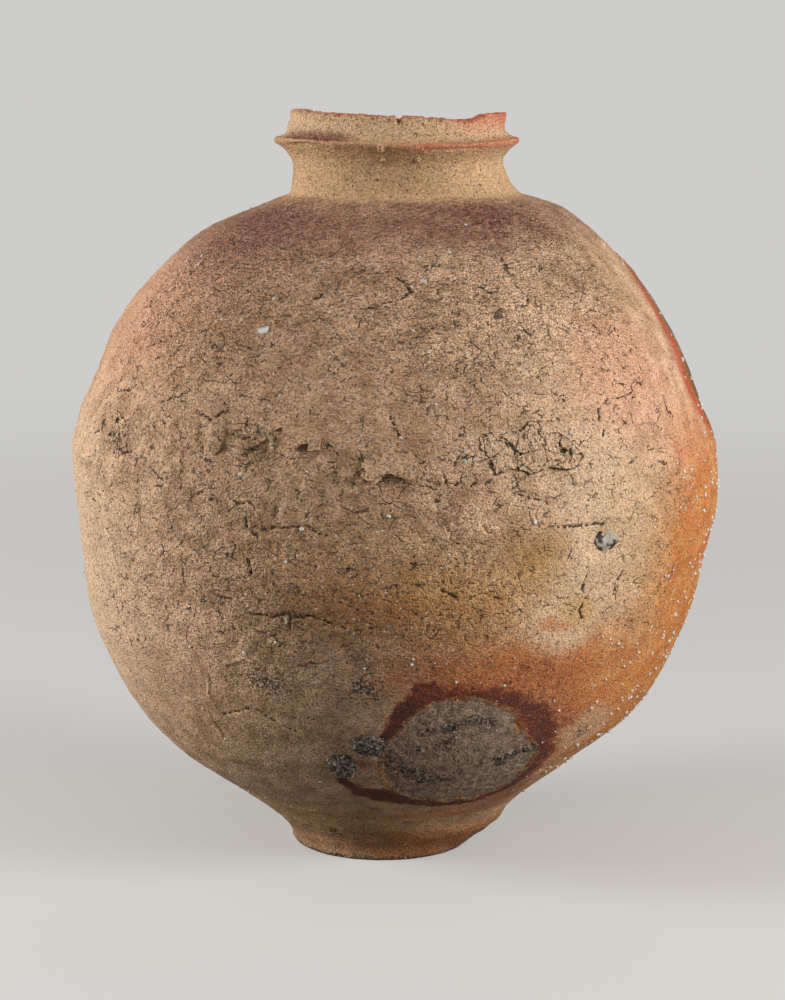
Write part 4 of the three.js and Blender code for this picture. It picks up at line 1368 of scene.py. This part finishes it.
# The lamps: place in metres and power in watts
LAMPS = {
    "left_lamp": ((-2.14, -0.32, 0.85), 53),
    "right_lamp": ((1.98, -0.93, 0.85), 57),
}
LAMP_SIZE = 1.0
LAMP_TARGET = Vector((0, 0, 0.25))

# The camera: what it looks at and from how far in metres, downward in degrees, and its lens in millimetres
CAMERA_TARGET = Vector((-0.00125, 0, 0.21))
CAMERA_DISTANCE = 1.776
CAMERA_PITCH = math.radians(8.85)
CAMERA_LENS = 104.4
CAMERA_SENSOR = 36


def floor_material():
    """The floor's pale tone, which fades into the backdrop with the distance."""
    g = Graph(bpy.data.materials.new("floor"))
    seen = g.node("ShaderNodeLightPath").outputs["Is Camera Ray"]
    lit = g.node("ShaderNodeBsdfDiffuse", {"Color": g.mix(seen, FLOOR_BOUNCE, FLOOR_TONE)}).outputs[0]
    plain = g.node("ShaderNodeEmission", {"Color": BACKDROP}).outputs[0]
    away = g.node("ShaderNodeVectorMath", {0: g.place}, operation="LENGTH").outputs["Value"]
    share = g.times(seen, g.span(away, FADE_START, FADE_END, 0.45, 1.0))
    faded = g.node("ShaderNodeMixShader", {0: share, 1: lit, 2: plain}).outputs[0]
    g.node("ShaderNodeOutputMaterial", {"Surface": faded})
    return g.owner


def floor():
    corners = FLOOR_HALF * np.array([(-1, -1, 0), (1, -1, 0), (1, 1, 0), (-1, 1, 0)])
    add_object("floor", corners, np.array([[0, 1, 2, 3]]), floor_material())


def sky():
    """Light from all round, with the backdrop where the camera looks past the floor."""
    world = bpy.data.worlds.new("studio")
    bpy.context.scene.world = world
    g = Graph(world)
    seen = g.node("ShaderNodeLightPath").outputs["Is Camera Ray"]
    light = g.node("ShaderNodeBackground", {"Color": SKY_TONE, "Strength": SKY_STRENGTH}).outputs[0]
    plain = g.node("ShaderNodeBackground", {"Color": BACKDROP}).outputs[0]
    both = g.node("ShaderNodeMixShader", {0: seen, 1: light, 2: plain}).outputs[0]
    g.node("ShaderNodeOutputWorld", {"Surface": both})


def soft_lamp(name, place, power):
    lamp = bpy.data.lights.new(name, "AREA")
    lamp.size = LAMP_SIZE
    lamp.energy = power
    made = linked(name, lamp)
    made.location = place
    made.rotation_euler = (LAMP_TARGET - Vector(place)).to_track_quat("-Z", "Y").to_euler()


def camera():
    data = bpy.data.cameras.new("camera")
    data.sensor_width = CAMERA_SENSOR
    data.lens = CAMERA_LENS
    made = linked("camera", data)
    back = Vector((0, -math.cos(CAMERA_PITCH), math.sin(CAMERA_PITCH)))
    made.location = CAMERA_TARGET + CAMERA_DISTANCE * back
    made.rotation_euler = (math.pi / 2 - CAMERA_PITCH, 0, 0)
    bpy.context.scene.camera = made


floor()
sky()
for name, (place, power) in LAMPS.items():
    soft_lamp(name, place, power)
camera()
bpy.context.scene.view_settings.view_transform = "Standard"
